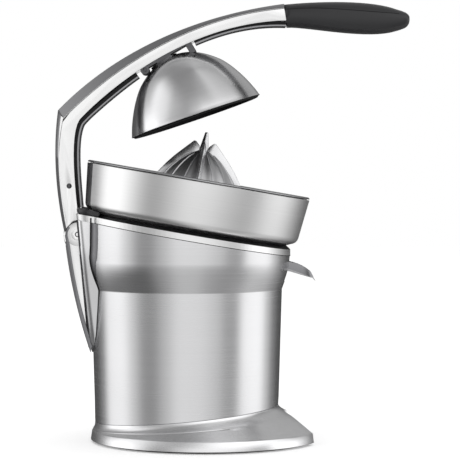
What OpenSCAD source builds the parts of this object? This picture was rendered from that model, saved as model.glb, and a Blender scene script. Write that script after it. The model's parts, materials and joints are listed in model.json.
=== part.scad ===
// Motor-driven citrus press with a lever arm, a swinging dome and a finned reamer.
// The origin is where the body's axis meets the surface it stands on.
// +X points to the spout and the handle, +Z points up, and XZ is the plane of symmetry.

/* [Base] */
// Radius of the base rim at its top edge
base_r = 115.5; // [110:0.5:120]
// How far the rim stands out behind the body
rim_back = 3; // [2:0.5:6]
// Extra radius of the rim at its foot
base_draft = 1.5; // [0.5:0.5:3]
// Height of the rim's top edge
rim_z = 12; // [10:0.5:16]
// Height of the rubber foot ring under the rim
foot_h = 2; // [1:0.5:4]
// Width of the rubber foot ring
foot_w = 11; // [6:1:16]
// Thickness of the bottom plate
plate_t = 3; // [2:0.5:4]
// Wall of the cast skirt
skirt_wall = 3.5; // [2.5:0.5:5]
// Where the cut-out for the glass starts, from the body's axis
scoop_x = 97.5; // [97:0.5:104]
// Radius of the cut-out's inner corner
scoop_r = 25; // [15:1:32]
// Angle of each side of the cut-out to the centre line
scoop_angle = 45; // [35:1:50]

/* [Body] */
// Radius of the body at its foot
body_r_foot = 93.5; // [90:0.5:95]
// Radius of the body under the flare
body_r_waist = 97.2; // [95.5:0.1:99]
// Height where the flare starts
waist_z = 155; // [145:1:165]
// Height where the flare ends
head_z = 182; // [175:1:190]
// Radius of the body's head
head_r = 105.7; // [103:0.1:108]
// Wall of the body shell
shell_t = 2; // [1:0.5:3]
// Height of the seam between base and body, on the body's axis
seam_z = 28.5; // [26:0.5:34]
// Tilt of that seam, up towards the front
seam_tilt = 5.2; // [3:0.1:6]

/* [Tilted head] */
// Forward tilt of the bowl, the deck and the drive
head_tilt = 9.8; // [7:0.1:12]
// Height where the tilted axis crosses the body's axis
head_cross_z = 195; // [190:0.5:205]
// Seam between the body and its collar, along the tilted axis
collar_w = 12; // [8:0.5:14]
// Height of the collar
collar_h = 6; // [4:0.5:8]
// Height of the deck's edge above the collar
deck_lip_h = 3.4; // [2:0.1:5]
// Thickness of the deck
deck_t = 4; // [3:0.5:6]

/* [Rear housing] */
// Half width of the rear housing at the top
hump_half_w = 54; // [50:1:60]
// Flare of its sides, from its rounded foot up
hump_flare = 14; // [10:1:16]
// Height of its lower tip
hump_foot_z = 90; // [80:1:110]
// Radius of its rounded lower end
hump_foot_r = 36; // [30:1:42]
// Lean of its back face
hump_lean = 5.3; // [4:0.1:6]
// Corner radius of its back edges
hump_edge_r = 14; // [8:1:20]
// Height of the black cap on top of it
cap_h = 6; // [3:0.5:6]

/* [Hinge] */
// Radius of the hinge pin
pin_r = 5; // [3.5:0.5:6]
// Pin axis behind the head's wall
pin_back = 4.1; // [3:0.1:6]
// Pin axis above the point where the axes cross
pin_up = 15.7; // [14:0.1:18]
// Radius of the bracket's ears
ear_r = 12.4; // [11:0.1:13]
// Thickness of the bracket's ears
ear_t = 4; // [3:0.5:5]
// Radius of the arm's knuckle
knuckle_r = 14.8; // [13.5:0.1:15.5]
// Radius of the round caps on the pin's ends
pin_cap_r = 6.1; // [5.6:0.1:8]
// How far the arm swings down from rest
press_angle = 12.9; // [8:0.1:13]
// Rise of the knuckle's switch cam over a quarter turn
cam_rise = 7; // [4:0.1:7]

/* [Lever arm] */
// Width of the arm
arm_w = 32; // [28:1:36]
// Wall of the arm's sides
arm_wall = 3.5; // [2.5:0.5:4.5]
// Thickness of the arm's top web
web_t = 3; // [2:0.5:3.5]
// Radius of the cross screw through the arm
cross_r = 2.5; // [1.5:0.1:3]
// Depth of the inner cover strips
strip_d = 5.5; // [4:0.5:7]
// Side chamfer of the top strip, as a share of its depth
chamfer_share = 0.62; // [0.3:0.02:0.9]

/* [Handle] */
// Width of the handle grip
grip_w = 34; // [30:1:38]
// Height of the bar inside the grip
tang_h = 11; // [8:1:12]
// Width of the bar inside the grip
tang_w = 18; // [12:1:20]
// Length of the bar inside the grip
tang_l = 84; // [60:2:92]

/* [Dome] */
// Radius of the dome at its rim
dome_r = 67.3; // [62:0.1:70]
// Wall of the dome
dome_t = 1.2; // [1:0.1:2]
// Backward lean of the dome at rest
dome_lean = 18.8; // [15:0.1:20]
// Depth of the liner's hollow
cavity_d = 42; // [36:1:50]
// Radius of the liner's hollow at the rim
cavity_r = 60; // [50:1:61]
// Wall of the liner
liner_t = 3.5; // [2.5:0.5:5]
// Number of ribs that grip the fruit
dome_ribs = 8; // [0:1:12]
// Radius of the dome's pivot pin
tilt_pin_r = 2; // [1.5:0.1:2.4]
// Radius of the eye and lugs round that pin
eye_r = 4.5; // [4:0.1:5]
// Dome centre along the saddle from the pivot
dome_along = 20.3; // [18:0.1:24]
// Length of the saddle's plate
saddle_l = 55; // [50:0.5:56]
// Thickness of the saddle's plate
saddle_t = 3.6; // [3:0.1:4]
// Radius of the pad between the saddle and the dome
pad_r = 15; // [13:0.5:16]
// Length of the stop post at the saddle's end
stop_l = 6.4; // [5:0.1:8]

/* [Bowl] */
// Radius of the bowl at its upper edge
bowl_r = 114.8; // [110:0.1:116]
// How much narrower the bowl is at its lower edge
bowl_taper = 4.8; // [3:0.1:6]
// Upper edge of the bowl along the tilted axis
bowl_top_w = 73.2; // [70:0.1:76]
// Height of the rim ring on the bowl
bowl_rim_h = 2.2; // [1.5:0.1:3]
// Wall of the bowl
bowl_t = 1.5; // [1:0.1:2]
// Wall of the inner bowl
inner_t = 2; // [1.5:0.1:3]
// Floor of the inner bowl along the tilted axis
inner_floor_w = 31; // [29:0.5:34]
// Radius of the collar round the spindle
hub_r = 20; // [17:0.5:24]
// Gap between the juice outlet and the inner bowl's wall
duct_in = 6.5; // [5:0.5:9]
// Radius of the juice outlet
duct_r = 8; // [6:0.5:9]

/* [Filter] */
// Number of slots in the filter
filter_slots = 40; // [24:2:48]
// Width of a slot
slot_w = 1.6; // [1:0.1:2.5]
// Thickness of the filter
filter_t = 1.5; // [1:0.1:2]
// How far the filter's edge lies inside the inner bowl's
filter_inset = 5.3; // [5:0.1:9]
// Radius of the filter's inner collar
filter_in_r = 54; // [52:0.5:60]

/* [Reamer] */
// Radius of the cone at its foot
cone_r = 47; // [42:0.5:49]
// Foot of the cone along the tilted axis
cone_foot_w = 54; // [52:0.5:58]
// Top of the cone's core along the tilted axis
cone_top_w = 104; // [100:0.5:106]
// Tip of the centre blade along the tilted axis
tip_w = 121; // [114:0.5:124]
// Thickness of the big fins
fin_t = 3.2; // [2:0.1:4]
// Radius of the pointed core at the cone's top
core_r = 4.2; // [3.5:0.1:4.6]
// Radius of the core's tip
core_tip_r = 1.5; // [1.2:0.1:2]
// Small ribs between two big fins
ribs_per_side = 3; // [1:1:4]
// Wall of the cone
cone_t = 2.5; // [2:0.1:3.5]

/* [Spout] */
// Width of the spout
spout_w = 27; // [22:1:30]
// Wall of the spout
spout_t = 1.4; // [1:0.1:2]
// Radius of the spout's pin
spout_pin_r = 2; // [1.5:0.1:2.5]
// Spout's pin inside the head's wall
spout_pin_in = 10.7; // [9:0.1:12]
// Height of the spout's pin
spout_pin_z = 177; // [175:0.5:179]
// Reach of the spout's lip from its pin
spout_reach = 36.3; // [33:0.1:40]
// Drop of the lip below the pin
spout_drop = 14.3; // [13:0.1:16]

/* [Drive] */
// Gear module
gear_m = 1; // [1:0.25:1]
// Teeth of the motor pinion
pinion_z = 12; // [12:1:14]
// Teeth of the first lay gear
lay_z = 48; // [46:1:48]
// Teeth of the lay pinion
lay_pinion_z = 14; // [13:1:15]
// Face width of the fast gears
fast_b = 7; // [5:0.5:8]
// Face width of the slow gears
slow_b = 9; // [7:0.5:10]
// Radius of the drive spindle
spindle_r = 6; // [5:0.5:7]
// Radius of the motor
motor_r = 40; // [34:1:44]
// Length of the motor
motor_l = 84; // [60:1:90]
// Radius of the motor shaft
shaft_r = 4; // [3:0.5:4]
// Wall of the gearbox
gearbox_t = 3; // [2:0.5:4]
// Thickness of the gearbox cover
cover_t = 3; // [2:0.5:4]

/* [Fits] */
// Radial clearance of a pin or shaft in its bore
run_fit = 0.05; // [0.02:0.01:0.08]
// Clearance between parts that are fixed together
seat_gap = 0.1; // [0.05:0.05:0.2]
// Clearance beside a part that moves
side_gap = 0.5; // [0.4:0.1:1]
// Clearance of the swinging arm to the bowl and the deck
swing_gap = 1.5; // [1:0.1:2]

/* [Hidden] */
$fn = 96;
big = 600;

steel = "silver";
polished = "gainsboro";
cast = "darkgray";
black = "dimgray";
dark = "#2b2b2d";
rubber = "#1c1c1e";
brass = "goldenrod";

// Points of a cubic curve, and the same curve moved sideways to its right
function bez(c, t) = pow(1 - t, 3) * c[0] + 3 * pow(1 - t, 2) * t * c[1]
    + 3 * (1 - t) * t * t * c[2] + t * t * t * c[3];
function bez_dir(c, t) = let (d = 3 * pow(1 - t, 2) * (c[1] - c[0])
    + 6 * (1 - t) * t * (c[2] - c[1]) + 3 * t * t * (c[3] - c[2])) d / norm(d);
function bez_right(c, t, k) = bez(c, t) + k * [bez_dir(c, t)[1], -bez_dir(c, t)[0]];
function run(c, n, t0 = 0, t1 = 1, k = 0) =
    [for (i = [0:n]) bez_right(c, t0 + (t1 - t0) * i / n, k)];
function back(list) = [for (i = [len(list) - 1:-1:0]) list[i]];
// A point of the side view turned about the origin, handle side down for a positive angle
function swung(p, a) = [p[0] * cos(a) + p[1] * sin(a), p[1] * cos(a) - p[0] * sin(a)];
function moved(list, d) = [for (p = list) p + d];

// A flat shape of the side view (x across, z up), as a plate of width w on the centre plane
module side_plate(w) {
    rotate([90, 0, 0])
        linear_extrude(w, center = true)
            children();
}
// The same as two plates whose inner faces are y0 from the centre plane
module side_pair(y0, t) {
    for (s = [-1, 1])
        translate([0, s * (y0 + t / 2), 0])
            side_plate(t)
                children();
}
// A rod across the part, at a point of the side view
module cross_rod(p, r, w) {
    translate([p[0], 0, p[1]])
        rotate([90, 0, 0])
            cylinder(h = w, r = r, center = true);
}
// The frame of the bowl, the deck and the drive: z runs along the tilted axis
module tilted() {
    translate([0, 0, head_cross_z])
        rotate([0, head_tilt, 0])
            children();
}
// The part of its children between two levels of the tilted axis
module tilted_slab(w0, w1) {
    intersection() {
        children();
        tilted()
            translate([0, 0, (w0 + w1) / 2])
                cube([big, big, w1 - w0], center = true);
    }
}
// Everything below a level of the base seam
module below_seam(dz) {
    translate([0, 0, seam_z + dz])
        rotate([0, -seam_tilt, 0])
            translate([0, 0, -big / 2])
                cube(big, center = true);
}

// ---- Base ----
base_x = base_r - body_r_foot - rim_back;
rim_r_foot = base_r + base_draft;
plate_r = base_r - skirt_wall - 2;
foot_r = plate_r - 2;
mid_r = body_r_foot + 4.5;
mid_drop = 6;
body_in_r = body_r_foot - shell_t;
thin = 0.05;
skirt_fn = 72;
base_screw_r = 2;
base_screw_at = plate_r - 7;
boss_r = 6;
gland_angle = 152;
gland_r = 4.2;

module seam_disc(r, dz, x = 0) {
    translate([0, 0, seam_z + dz])
        rotate([0, -seam_tilt, 0])
            translate([x, 0, 0])
                cylinder(h = thin, r = r, $fn = skirt_fn);
}
module rim_disc(r, z) {
    translate([base_x, 0, z])
        cylinder(h = thin, r = r, $fn = skirt_fn);
}
module scoop_outline(wall = 0) {
    c = scoop_x + scoop_r;
    r = scoop_r + wall;
    edge = [c - r * sin(scoop_angle), r * cos(scoop_angle)];
    far = edge + base_r * [cos(scoop_angle), sin(scoop_angle)];
    translate([c, 0])
        circle(r);
    polygon([edge, far, [far[0], -far[1]], [edge[0], -edge[1]]]);
}
module scoop_cut(wall = 0) {
    translate([0, 0, -1])
        linear_extrude(seam_z + 40)
            scoop_outline(wall);
}
// The sloping skirt, drawn again with a smaller size for its hollow
module skirt_form(wall) {
    hull() {
        seam_disc(body_r_foot - wall, -thin - wall);
        seam_disc(mid_r - wall, -mid_drop - wall, 2.5);
    }
    hull() {
        seam_disc(mid_r - wall, -mid_drop - wall, 2.5);
        rim_disc(base_r - wall, rim_z - thin - wall);
    }
}
module base_skirt() {
    color(cast)
        difference() {
            union() {
                skirt_form(0);
                translate([base_x, 0, foot_h])
                    cylinder(h = rim_z - foot_h, r1 = rim_r_foot, r2 = base_r);
            }
            difference() {
                union() {
                    skirt_form(skirt_wall);
                    translate([base_x, 0, foot_h + plate_t])
                        cylinder(h = rim_z - foot_h - plate_t - skirt_wall, r = base_r - skirt_wall - 2);
                    cylinder(h = seam_z, r = body_in_r - 6);
                }
                scoop_cut(skirt_wall);
                base_bosses(boss_r, seam_z);
            }
            translate([base_x, 0, -1])
                cylinder(h = 1 + foot_h + plate_t, r = plate_r + seat_gap);
            translate([0, 0, rim_z])
                cylinder(h = big, r = body_in_r - 6);
            scoop_cut();
            base_bosses(base_screw_r + seat_gap, rim_z - foot_h - plate_t - 1.5);
            gland_place()
                cylinder(h = 60, r = gland_r + seat_gap, center = true);
        }
}
module base_bosses(r, h) {
    for (a = [50, 122, 180, 238, 310])
        translate([base_x + base_screw_at * cos(a), base_screw_at * sin(a), foot_h + plate_t])
            cylinder(h = h, r = r);
}
module gland_place() {
    translate([base_x, 0, foot_h + (rim_z - foot_h) / 2])
        rotate([0, 0, gland_angle])
            translate([base_r, 0, 0])
                rotate([0, 90, 0])
                    children();
}
module base_plate() {
    vent_w = 3;
    color(black)
        difference() {
            translate([base_x, 0, foot_h])
                cylinder(h = plate_t, r = plate_r);
            scoop_cut(skirt_wall + 1);
            gland_place()
                cylinder(h = 60, r = gland_r + seat_gap, center = true);
            for (i = [-4:4])
                translate([-20, i * 9, 0])
                    cube([60, vent_w, 20], center = true);
            for (a = [50, 122, 180, 238, 310])
                translate([base_x + base_screw_at * cos(a), base_screw_at * sin(a), 0]) {
                    cylinder(h = 20, r = base_screw_r + seat_gap);
                    translate([0, 0, foot_h - 1])
                        cylinder(h = 2.5, r = 4.1);
                }
        }
}
module base_screws() {
    color(cast)
        for (a = [50, 122, 180, 238, 310])
            translate([base_x + base_screw_at * cos(a), base_screw_at * sin(a), foot_h + 0.1]) {
                cylinder(h = 1.4, r = 4);
                cylinder(h = plate_t + 5, r = base_screw_r);
            }
}
module foot_ring() {
    color(rubber)
        difference() {
            translate([base_x, 0, 0])
                cylinder(h = foot_h, r = foot_r);
            translate([base_x, 0, -1])
                cylinder(h = foot_h + 2, r = foot_r - foot_w);
            scoop_cut(skirt_wall + 3);
            for (a = [50, 122, 180, 238, 310])
                translate([base_x + base_screw_at * cos(a), base_screw_at * sin(a), -1])
                    cylinder(h = 20, r = 4.6);
        }
}
module cord_gland() {
    color(rubber)
        gland_place()
            difference() {
                union() {
                    translate([0, 0, -9])
                        cylinder(h = 9 + base_draft + 0.6, r = gland_r);
                    translate([0, 0, base_draft])
                        cylinder(h = 1.2, r = gland_r + 0.6);
                }
                cylinder(h = 60, r = 2.9, center = true);
            }
}

// ---- Body ----
flare_steps = 8;
flare = [for (i = [0:flare_steps]) let (t = i / flare_steps)
    [body_r_waist + (head_r - body_r_waist) * sin(90 * t), waist_z + (head_z - waist_z) * t]];
body_top_z = head_cross_z + 60;
spout_gap = 1.2;
pocket_wall = 1.6;
pocket_half = arm_w / 2 + side_gap + ear_t + 1.3 + pocket_wall;
pin_at = [-head_r - pin_back, head_cross_z + pin_up];
pocket_floor_z = pin_at[1] - knuckle_r - 2;
pocket_x = pin_at[0] + knuckle_r + 2.6;
hump_slot = pocket_half + 1;

// Outline of the body's wall in a half section, moved inwards by d
function wall_outline(d) = concat([[body_r_foot - d, seam_z]],
    [for (p = flare) [p[0] - d, p[1]]], [[head_r - d, body_top_z]]);
module body_solid(d = 0) {
    rotate_extrude()
        polygon(concat([[0, 0], [body_r_foot - d, 0]], wall_outline(d), [[0, body_top_z]]));
}
module shell_ring(w_low, w_high, d, t) {
    tilted_slab(w_low, w_high)
        difference() {
            body_solid(d);
            body_solid(d + t);
        }
}
// The opening in the body for the arm's knuckle and the bracket's ears
module pocket_cut(half, z0) {
    translate([pocket_x - big / 2, 0, z0 + big / 2])
        cube([big, 2 * half, big], center = true);
}
module body_shell() {
    color(steel)
        difference() {
            shell_ring(-big / 2, collar_w - seat_gap, 0, shell_t);
            below_seam(seat_gap);
            pocket_cut(pocket_half + seat_gap, pocket_floor_z - pocket_wall - seat_gap);
            spout_window(spout_gap);
            intersection() {
                rear_screw_holes(2.1);
                translate([-big / 2, 0, 0])
                    cube(big, center = true);
            }
        }
}

// ---- Rear housing ----
hump_top_w = collar_w + collar_h;
hump_foot_x = -body_r_waist + 0.6;
hump_steps = 16;

module hump_form(edge) {
    half = hump_half_w - edge;
    foot = (hump_foot_r - edge) * [cos(hump_flare), sin(hump_flare)];
    full_z = hump_foot_z + hump_foot_r - foot[1] + (half - foot[0]) / tan(hump_flare);
    intersection() {
        rotate([90, 0, 90])
            linear_extrude(big, center = true)
                polygon(concat(
                    [for (i = [0:hump_steps]) let (q = -180 + hump_flare + i * (180 - 2 * hump_flare) / hump_steps)
                        [0, hump_foot_z + hump_foot_r] + (hump_foot_r - edge) * [cos(q), sin(q)]],
                    [[half, full_z], [half, big], [-half, big], [-half, full_z]]));
        translate([hump_foot_x + edge, 0, hump_foot_z])
            rotate([0, -hump_lean, 0])
                translate([head_r / 2, 0, -big / 4])
                    linear_extrude(big) {
                        square([head_r, 2 * (half - hump_edge_r)], center = true);
                        translate([hump_edge_r / 2, 0])
                            square([head_r - hump_edge_r, 2 * half], center = true);
                        for (s = [-1, 1])
                            translate([hump_edge_r - head_r / 2, s * (half - hump_edge_r)])
                                circle(hump_edge_r);
                    }
    }
}
module rear_housing() {
    color(polished)
        difference() {
            tilted_slab(-big / 2, collar_w - seat_gap)
                hump_form(0);
            body_solid(-seat_gap);
            pocket_cut(hump_slot, pocket_floor_z - 3);
            rear_screw_holes(2.1);
        }
}
// A box inside the body that keeps the knuckle apart from the motor
module hinge_pocket() {
    depth = shell_t + 11;
    color(dark)
        difference() {
            tilted_slab(-big / 2, collar_w + collar_h - deck_t - 2)
                translate([pocket_x + pocket_wall - depth / 2, 0, pocket_floor_z - pocket_wall + 25])
                    cube([depth, 2 * pocket_half, 50], center = true);
            translate([pocket_x - 20, 0, pocket_floor_z + 30])
                cube([40, 2 * (pocket_half - pocket_wall), 60], center = true);
            switch_place()
                cylinder(h = 12, r = switch_pin_r + side_gap, center = true);
        }
}

// ---- Collar and deck ----
module collar_ring() {
    color(steel)
        difference() {
            tilted_slab(collar_w, collar_w + collar_h)
                difference() {
                    union() {
                        body_solid(0);
                        hump_form(0);
                    }
                    body_solid(shell_t + 2);
                }
            arm_swing_cut();
            pocket_cut(arm_w / 2 + ear_t + 1.5, 0);
        }
}
deck_w = collar_w + collar_h + deck_lip_h;
deck_edge_r = head_r - 6.5;
deck_r = head_r - 1.6;
deck_in_r = hub_r + 3;
module top_deck() {
    color(dark)
        difference() {
            tilted()
                rotate_extrude()
                    polygon([[deck_in_r, deck_w - deck_t], [deck_r, deck_w - deck_t],
                        [deck_r, collar_w + collar_h + 0.2], [deck_edge_r, deck_w], [deck_in_r, deck_w]]);
            tilted()
                translate([0, 0, collar_w])
                    cylinder(h = collar_h + seat_gap, r = big);
            arm_swing_cut();
            pocket_cut(arm_w / 2 + ear_t + 1.5, 0);
            duct_hole(duct_r + inner_t + side_gap);
        }
    color(dark)
        difference() {
            tilted_slab(deck_w - deck_t - 1, collar_w + collar_h + seat_gap)
                difference() {
                    body_solid(shell_t + 2 + 2 * seat_gap);
                    body_solid(shell_t + 6);
                }
            pocket_cut(arm_w / 2 + ear_t + 6, 0);
            translate([deck_r, 0, 0])
                cube([30, spout_w + 2 * (side_gap + yoke_t) + 1, big], center = true);
        }
}
module rear_cap() {
    color(dark)
        difference() {
            tilted_slab(collar_w + collar_h + seat_gap, collar_w + collar_h + cap_h)
                difference() {
                    hump_form(1);
                    translate([-80, 0, 0])
                        cylinder(h = big, r = 1);
                }
            tilted()
                cylinder(h = big, r = deck_r + 0.4);
            arm_swing_cut();
            pocket_cut(arm_w / 2 + ear_t + 1.5, 0);
        }
}

// ---- Hinge bracket ----
ear_y = arm_w / 2 + side_gap;
spine_top = pin_at + [-11.9, -12.9];
spine_foot = [hump_foot_x - 0.2, hump_foot_z + 1];
spine_t = 3;
// Back face of the rear housing at a height
function hump_back_x(z) = hump_foot_x - (z - hump_foot_z) * tan(hump_lean);
module bracket_outline() {
    z0 = pocket_floor_z - 3.2;
    polygon([spine_foot, spine_top, pin_at + [-ear_r, 0], pin_at, [pin_at[0] + 2, z0],
        [hump_back_x(z0) - seat_gap, z0], [hump_back_x(spine_foot[1] + 2) - seat_gap, spine_foot[1] + 2]]);
}
flange_t = 2;
flange_top = waist_z + 14;
flange_low = waist_z - 25;
flange_screws = [waist_z - 10, waist_z + 7];
head_t = 1.8;
module hinge_bracket() {
    spine_in = spine_foot[1] + 9;
    color(polished)
        difference() {
            union() {
                side_pair(ear_y, ear_t) {
                    bracket_outline();
                    translate(pin_at)
                        circle(ear_r);
                }
                side_plate(2 * ear_y + 0.02)
                    polygon([spine_foot, spine_top, spine_top + [spine_t, -1],
                        [hump_back_x(spine_in) - seat_gap, spine_in]]);
                side_plate(2 * ear_y + 0.02)
                    polygon([[hump_back_x(flange_low) - seat_gap, flange_low],
                        [hump_back_x(flange_top) - seat_gap, flange_top],
                        [hump_back_x(flange_top) - seat_gap - flange_t, flange_top],
                        [hump_back_x(flange_low) - seat_gap - flange_t, flange_low]]);
            }
            cross_rod(pin_at, pin_r + run_fit, big);
            cross_rod(pin_at, knuckle_r + side_gap, 2 * ear_y);
            rear_screw_holes(2.1);
        }
}
module rear_screw_holes(r) {
    for (z = flange_screws)
        translate([hump_back_x(z), 0, z])
            rotate([0, 90 - hump_lean, 0])
                translate([0, 0, -flange_t - 1])
                    cylinder(h = 14, r = r);
}
module bracket_screws() {
    color(cast)
        for (z = flange_screws)
            translate([hump_back_x(z), 0, z])
                rotate([0, 90 - hump_lean, 0]) {
                    translate([0, 0, -2 * seat_gap - flange_t - head_t])
                        cylinder(h = head_t, r = 4);
                    translate([0, 0, -2 * seat_gap - flange_t - 0.1])
                        cylinder(h = 12.5, r = 2);
                }
}
pin_l = 2 * (ear_y + ear_t);
module hinge_pin() {
    color(cast)
        cross_rod(pin_at, pin_r, pin_l);
}
module pin_caps() {
    color(polished)
        for (s = [-1, 1])
            translate([pin_at[0], s * (pin_l / 2 + 0.5), pin_at[1]])
                rotate([90, 0, 0])
                    difference() {
                        cylinder(h = 1, r = pin_cap_r, center = true);
                        translate([0, 0, -s * 0.6])
                            cylinder(h = 1, r = 2.5, center = true, $fn = 6);
                    }
}

// ---- Lever arm: curves of its side view, measured from the hinge pin ----
back_curve = [[-14.7, 3], [-23.2, 43], [-26.2, 84.6], [-20.7, 125.8]];
top_curve = [[-20.7, 125.8], [39.8, 188.3], [123.8, 222.3], [208.8, 233.3]];
back_shoulder = [[-11.2, 3], [-19.5, 43], [-21.7, 84.6], [-14.7, 116.3]];
top_shoulder = [[-14.7, 116.3], [43.8, 175.8], [124.8, 221.3], [208.8, 227.8]];
front_face = [[2, 116.3], [-9.2, 101.3], [-2.2, 40.8], [-0.2, 22.3]];
under_face = [[9.8, 124.3], [63.8, 175.8], [134.8, 214.3], [210.8, 216.3]];
front_low = [[9.8, 116.3], [-6.2, 107.3], [3.8, 39.8], [4.5, 20]];
under_low = [[9.8, 116.3], [64.8, 166.8], [132.8, 214.3], [211.8, 210.3]];
grip_top = [[208.8, 233.3], [234.8, 236.3], [320.8, 241.8], [336.8, 219.3]];
grip_low = [[211.8, 209.8], [234.8, 211.8], [329.8, 188.3], [336.8, 219.3]];
arm_steps = 12;
tilt_pin_at = [67.8, 166.3];
tilt_pin_w = arm_w - 1;
saddle_angle = 31;
cross_at = [-8.8, 48.9];
channel_half = arm_w / 2 - arm_wall;
cover_half = channel_half - seat_gap;

module at_pin() {
    translate([pin_at[0], 0, pin_at[1]])
        children();
}
// What the arm sweeps on its way down, with clearance
module arm_swing_cut() {
    inner = [for (p = run(front_low, 10)) swung(p, press_angle)];
    edge = [for (p = inner) p + [swing_gap, 0]];
    at_pin()
        side_plate(arm_w + 2 * swing_gap)
            polygon(concat([[-big / 2, edge[0][1]]], edge,
                [[edge[10][0] + 4, 0], [edge[10][0] + 4, -8], [-big / 2, -8]]));
}
crest_line = concat(run(back_curve, arm_steps, 0, 0.97), run(top_curve, 2 * arm_steps, 0.015));
shoulder_line = concat(run(back_shoulder, arm_steps, 0, 0.97), run(top_shoulder, 2 * arm_steps, 0.04));
module lever_arm() {
    color(polished)
        at_pin()
            difference() {
                union() {
                    side_plate(arm_w) {
                        polygon(concat(shoulder_line, back(run(under_face, 2 * arm_steps)),
                            run(front_face, arm_steps), [[0, 0], [-11.2, 0]]));
                        circle(knuckle_r);
                        cam_outline(-1, press_angle + 8);
                    }
                    side_pair(channel_half, arm_wall - 0.5)
                        translate(tilt_pin_at)
                            circle(eye_r);
                }
                side_plate(2 * arm_w)
                    difference() {
                        polygon([[0, 0], 30 * [cos(cam_from), sin(cam_from)], [30, 0]]);
                        cam_outline(cam_from - 1, 1);
                    }
                side_plate(2 * arm_w)
                    polygon([shoulder_line[0] - [0, 0.1], shoulder_line[0] - [big / 10, 0.1],
                        shoulder_line[2] - [big / 10, 0], shoulder_line[2], shoulder_line[1], shoulder_line[0]]);
                side_plate(2 * channel_half)
                    polygon(concat(run(back_shoulder, arm_steps, 0.25, 0.9, web_t),
                        run(top_shoulder, 2 * arm_steps, 0.05, 0.97, web_t),
                        back(run(under_face, 2 * arm_steps, 0, 0.96, 2)),
                        run(front_face, arm_steps, 0.05, 0.97, -3)));
                cross_rod([0, 0], pin_r + bush_t, big);
                cross_rod(tilt_pin_at, tilt_pin_r + seat_gap, big);
                cross_rod(cross_at, cross_r + seat_gap, big);
                tang_bar(seat_gap, 20);
            }
}
// The switch cam: its radius grows evenly with the angle above the front
cam_from = -62;
function cam_r(q) = knuckle_r + cam_rise * q / 90;
module cam_outline(from, to) {
    polygon(concat([[0, 0]], [for (i = [0:16]) let (q = from + (to - from) * i / 16) cam_r(q) * [cos(q), sin(q)]]));
}
bush_t = 2;
module hinge_bushes() {
    bush_l = arm_w / 2 - 2;
    color("ivory")
        at_pin()
            for (s = [-1, 1])
                translate([0, s * (arm_w / 2 - bush_l / 2), 0])
                    rotate([90, 0, 0])
                        difference() {
                            cylinder(h = bush_l, r = pin_r + bush_t - seat_gap / 2, center = true);
                            cylinder(h = big, r = pin_r + run_fit, center = true);
                        }
}
// The chamfered strip along the arm's back and top: four edges swept along the curves
module arm_top_strip() {
    outer = crest_line;
    inner = shoulder_line;
    n = len(outer);
    half = arm_w / 2;
    function cut(i) = 1.2 + chamfer_share * norm(outer[i] - inner[i]);
    ring = [for (i = [0:n - 1]) each [[outer[i][0], half - cut(i), outer[i][1]],
        [inner[i][0], half, inner[i][1]], [inner[i][0], -half, inner[i][1]],
        [outer[i][0], -half + cut(i), outer[i][1]]]];
    sides = [for (i = [0:n - 2], k = [0:3]) let (a = 4 * i + k, b = 4 * i + (k + 1) % 4)
        each [[a, b, b + 4], [a, b + 4, a + 4]]];
    e = 4 * (n - 1);
    color(cast)
        at_pin()
            polyhedron(ring, concat(sides, [[2, 1, 0], [3, 2, 0], [e, e + 1, e + 2], [e, e + 2, e + 3]]));
}
module strip_outline(c, n, t0, t1, d) {
    polygon(concat(run(c, n, t0, t1), back(run(c, n, t0, t1, d))));
}
module arm_inner_strip() {
    color(dark)
        at_pin()
            difference() {
                union() {
                    side_plate(2 * cover_half) {
                        strip_outline(front_low, arm_steps, 0.02, 0.9, strip_d);
                        strip_outline(under_low, arm_steps, 0, 0.27, -strip_d);
                    }
                    side_plate(2 * cover_half)
                        translate([9.8, 116.3])
                            circle(1.5);
                }
                cross_rod(cross_at, cross_r + seat_gap, big);
            }
}
module arm_under_cover() {
    color(dark)
        at_pin()
            side_plate(2 * cover_half)
                strip_outline(under_low, arm_steps, 0.585, 0.97, -strip_d / 2);
}
module arm_cross_screw() {
    color(dark)
        at_pin()
            cross_rod(cross_at, cross_r, arm_w + 1.2);
}

// ---- Handle ----
tang_at = [197, 220.5];
module tang_bar(gap, l) {
    translate([tang_at[0] - gap, 0, tang_at[1]])
        translate([l / 2, 0, 0])
            cube([l + 2 * gap, tang_w + 2 * gap, tang_h + 2 * gap], center = true);
}
module grip_tang() {
    color(cast)
        at_pin()
            tang_bar(0, tang_l);
}
// The grip: oval sections swept between its upper and lower curves
module handle_grip() {
    n = 22;
    m = 20;
    e = 2 / 2.6;
    function signed_pow(v) = sign(v) * pow(abs(v), e);
    function place(i) = let (t = i / n) 1 - pow(1 - t, 1.35);
    function half_w(t) = grip_w / 2 * (0.92 + 0.08 * sin(180 * min(1, t * 1.1)))
        * sqrt(1 - pow(t, 7) * 0.995);
    ring = [for (i = [0:n]) let (t = place(i), a = bez(grip_top, t), b = bez(grip_low, t))
        each [for (k = [0:m - 1]) let (q = 360 * k / m, c = (a + b) / 2 + (a - b) / 2 * signed_pow(cos(q)))
            [c[0], half_w(t) * signed_pow(sin(q)), c[1]]]];
    last = n - 1;
    sides = [for (i = [0:last - 1], k = [0:m - 1])
        let (a = m * i + k, b = m * i + (k + 1) % m) each [[a, b + m, b], [a, a + m, b + m]]];
    caps = [[for (k = [0:m - 1]) k], [for (k = [m - 1:-1:0]) m * last + k]];
    color(rubber)
        at_pin()
            difference() {
                polyhedron([for (i = [0:m * (last + 1) - 1]) ring[i]], concat(sides, caps));
                tang_bar(seat_gap, tang_l);
            }
}

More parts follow.
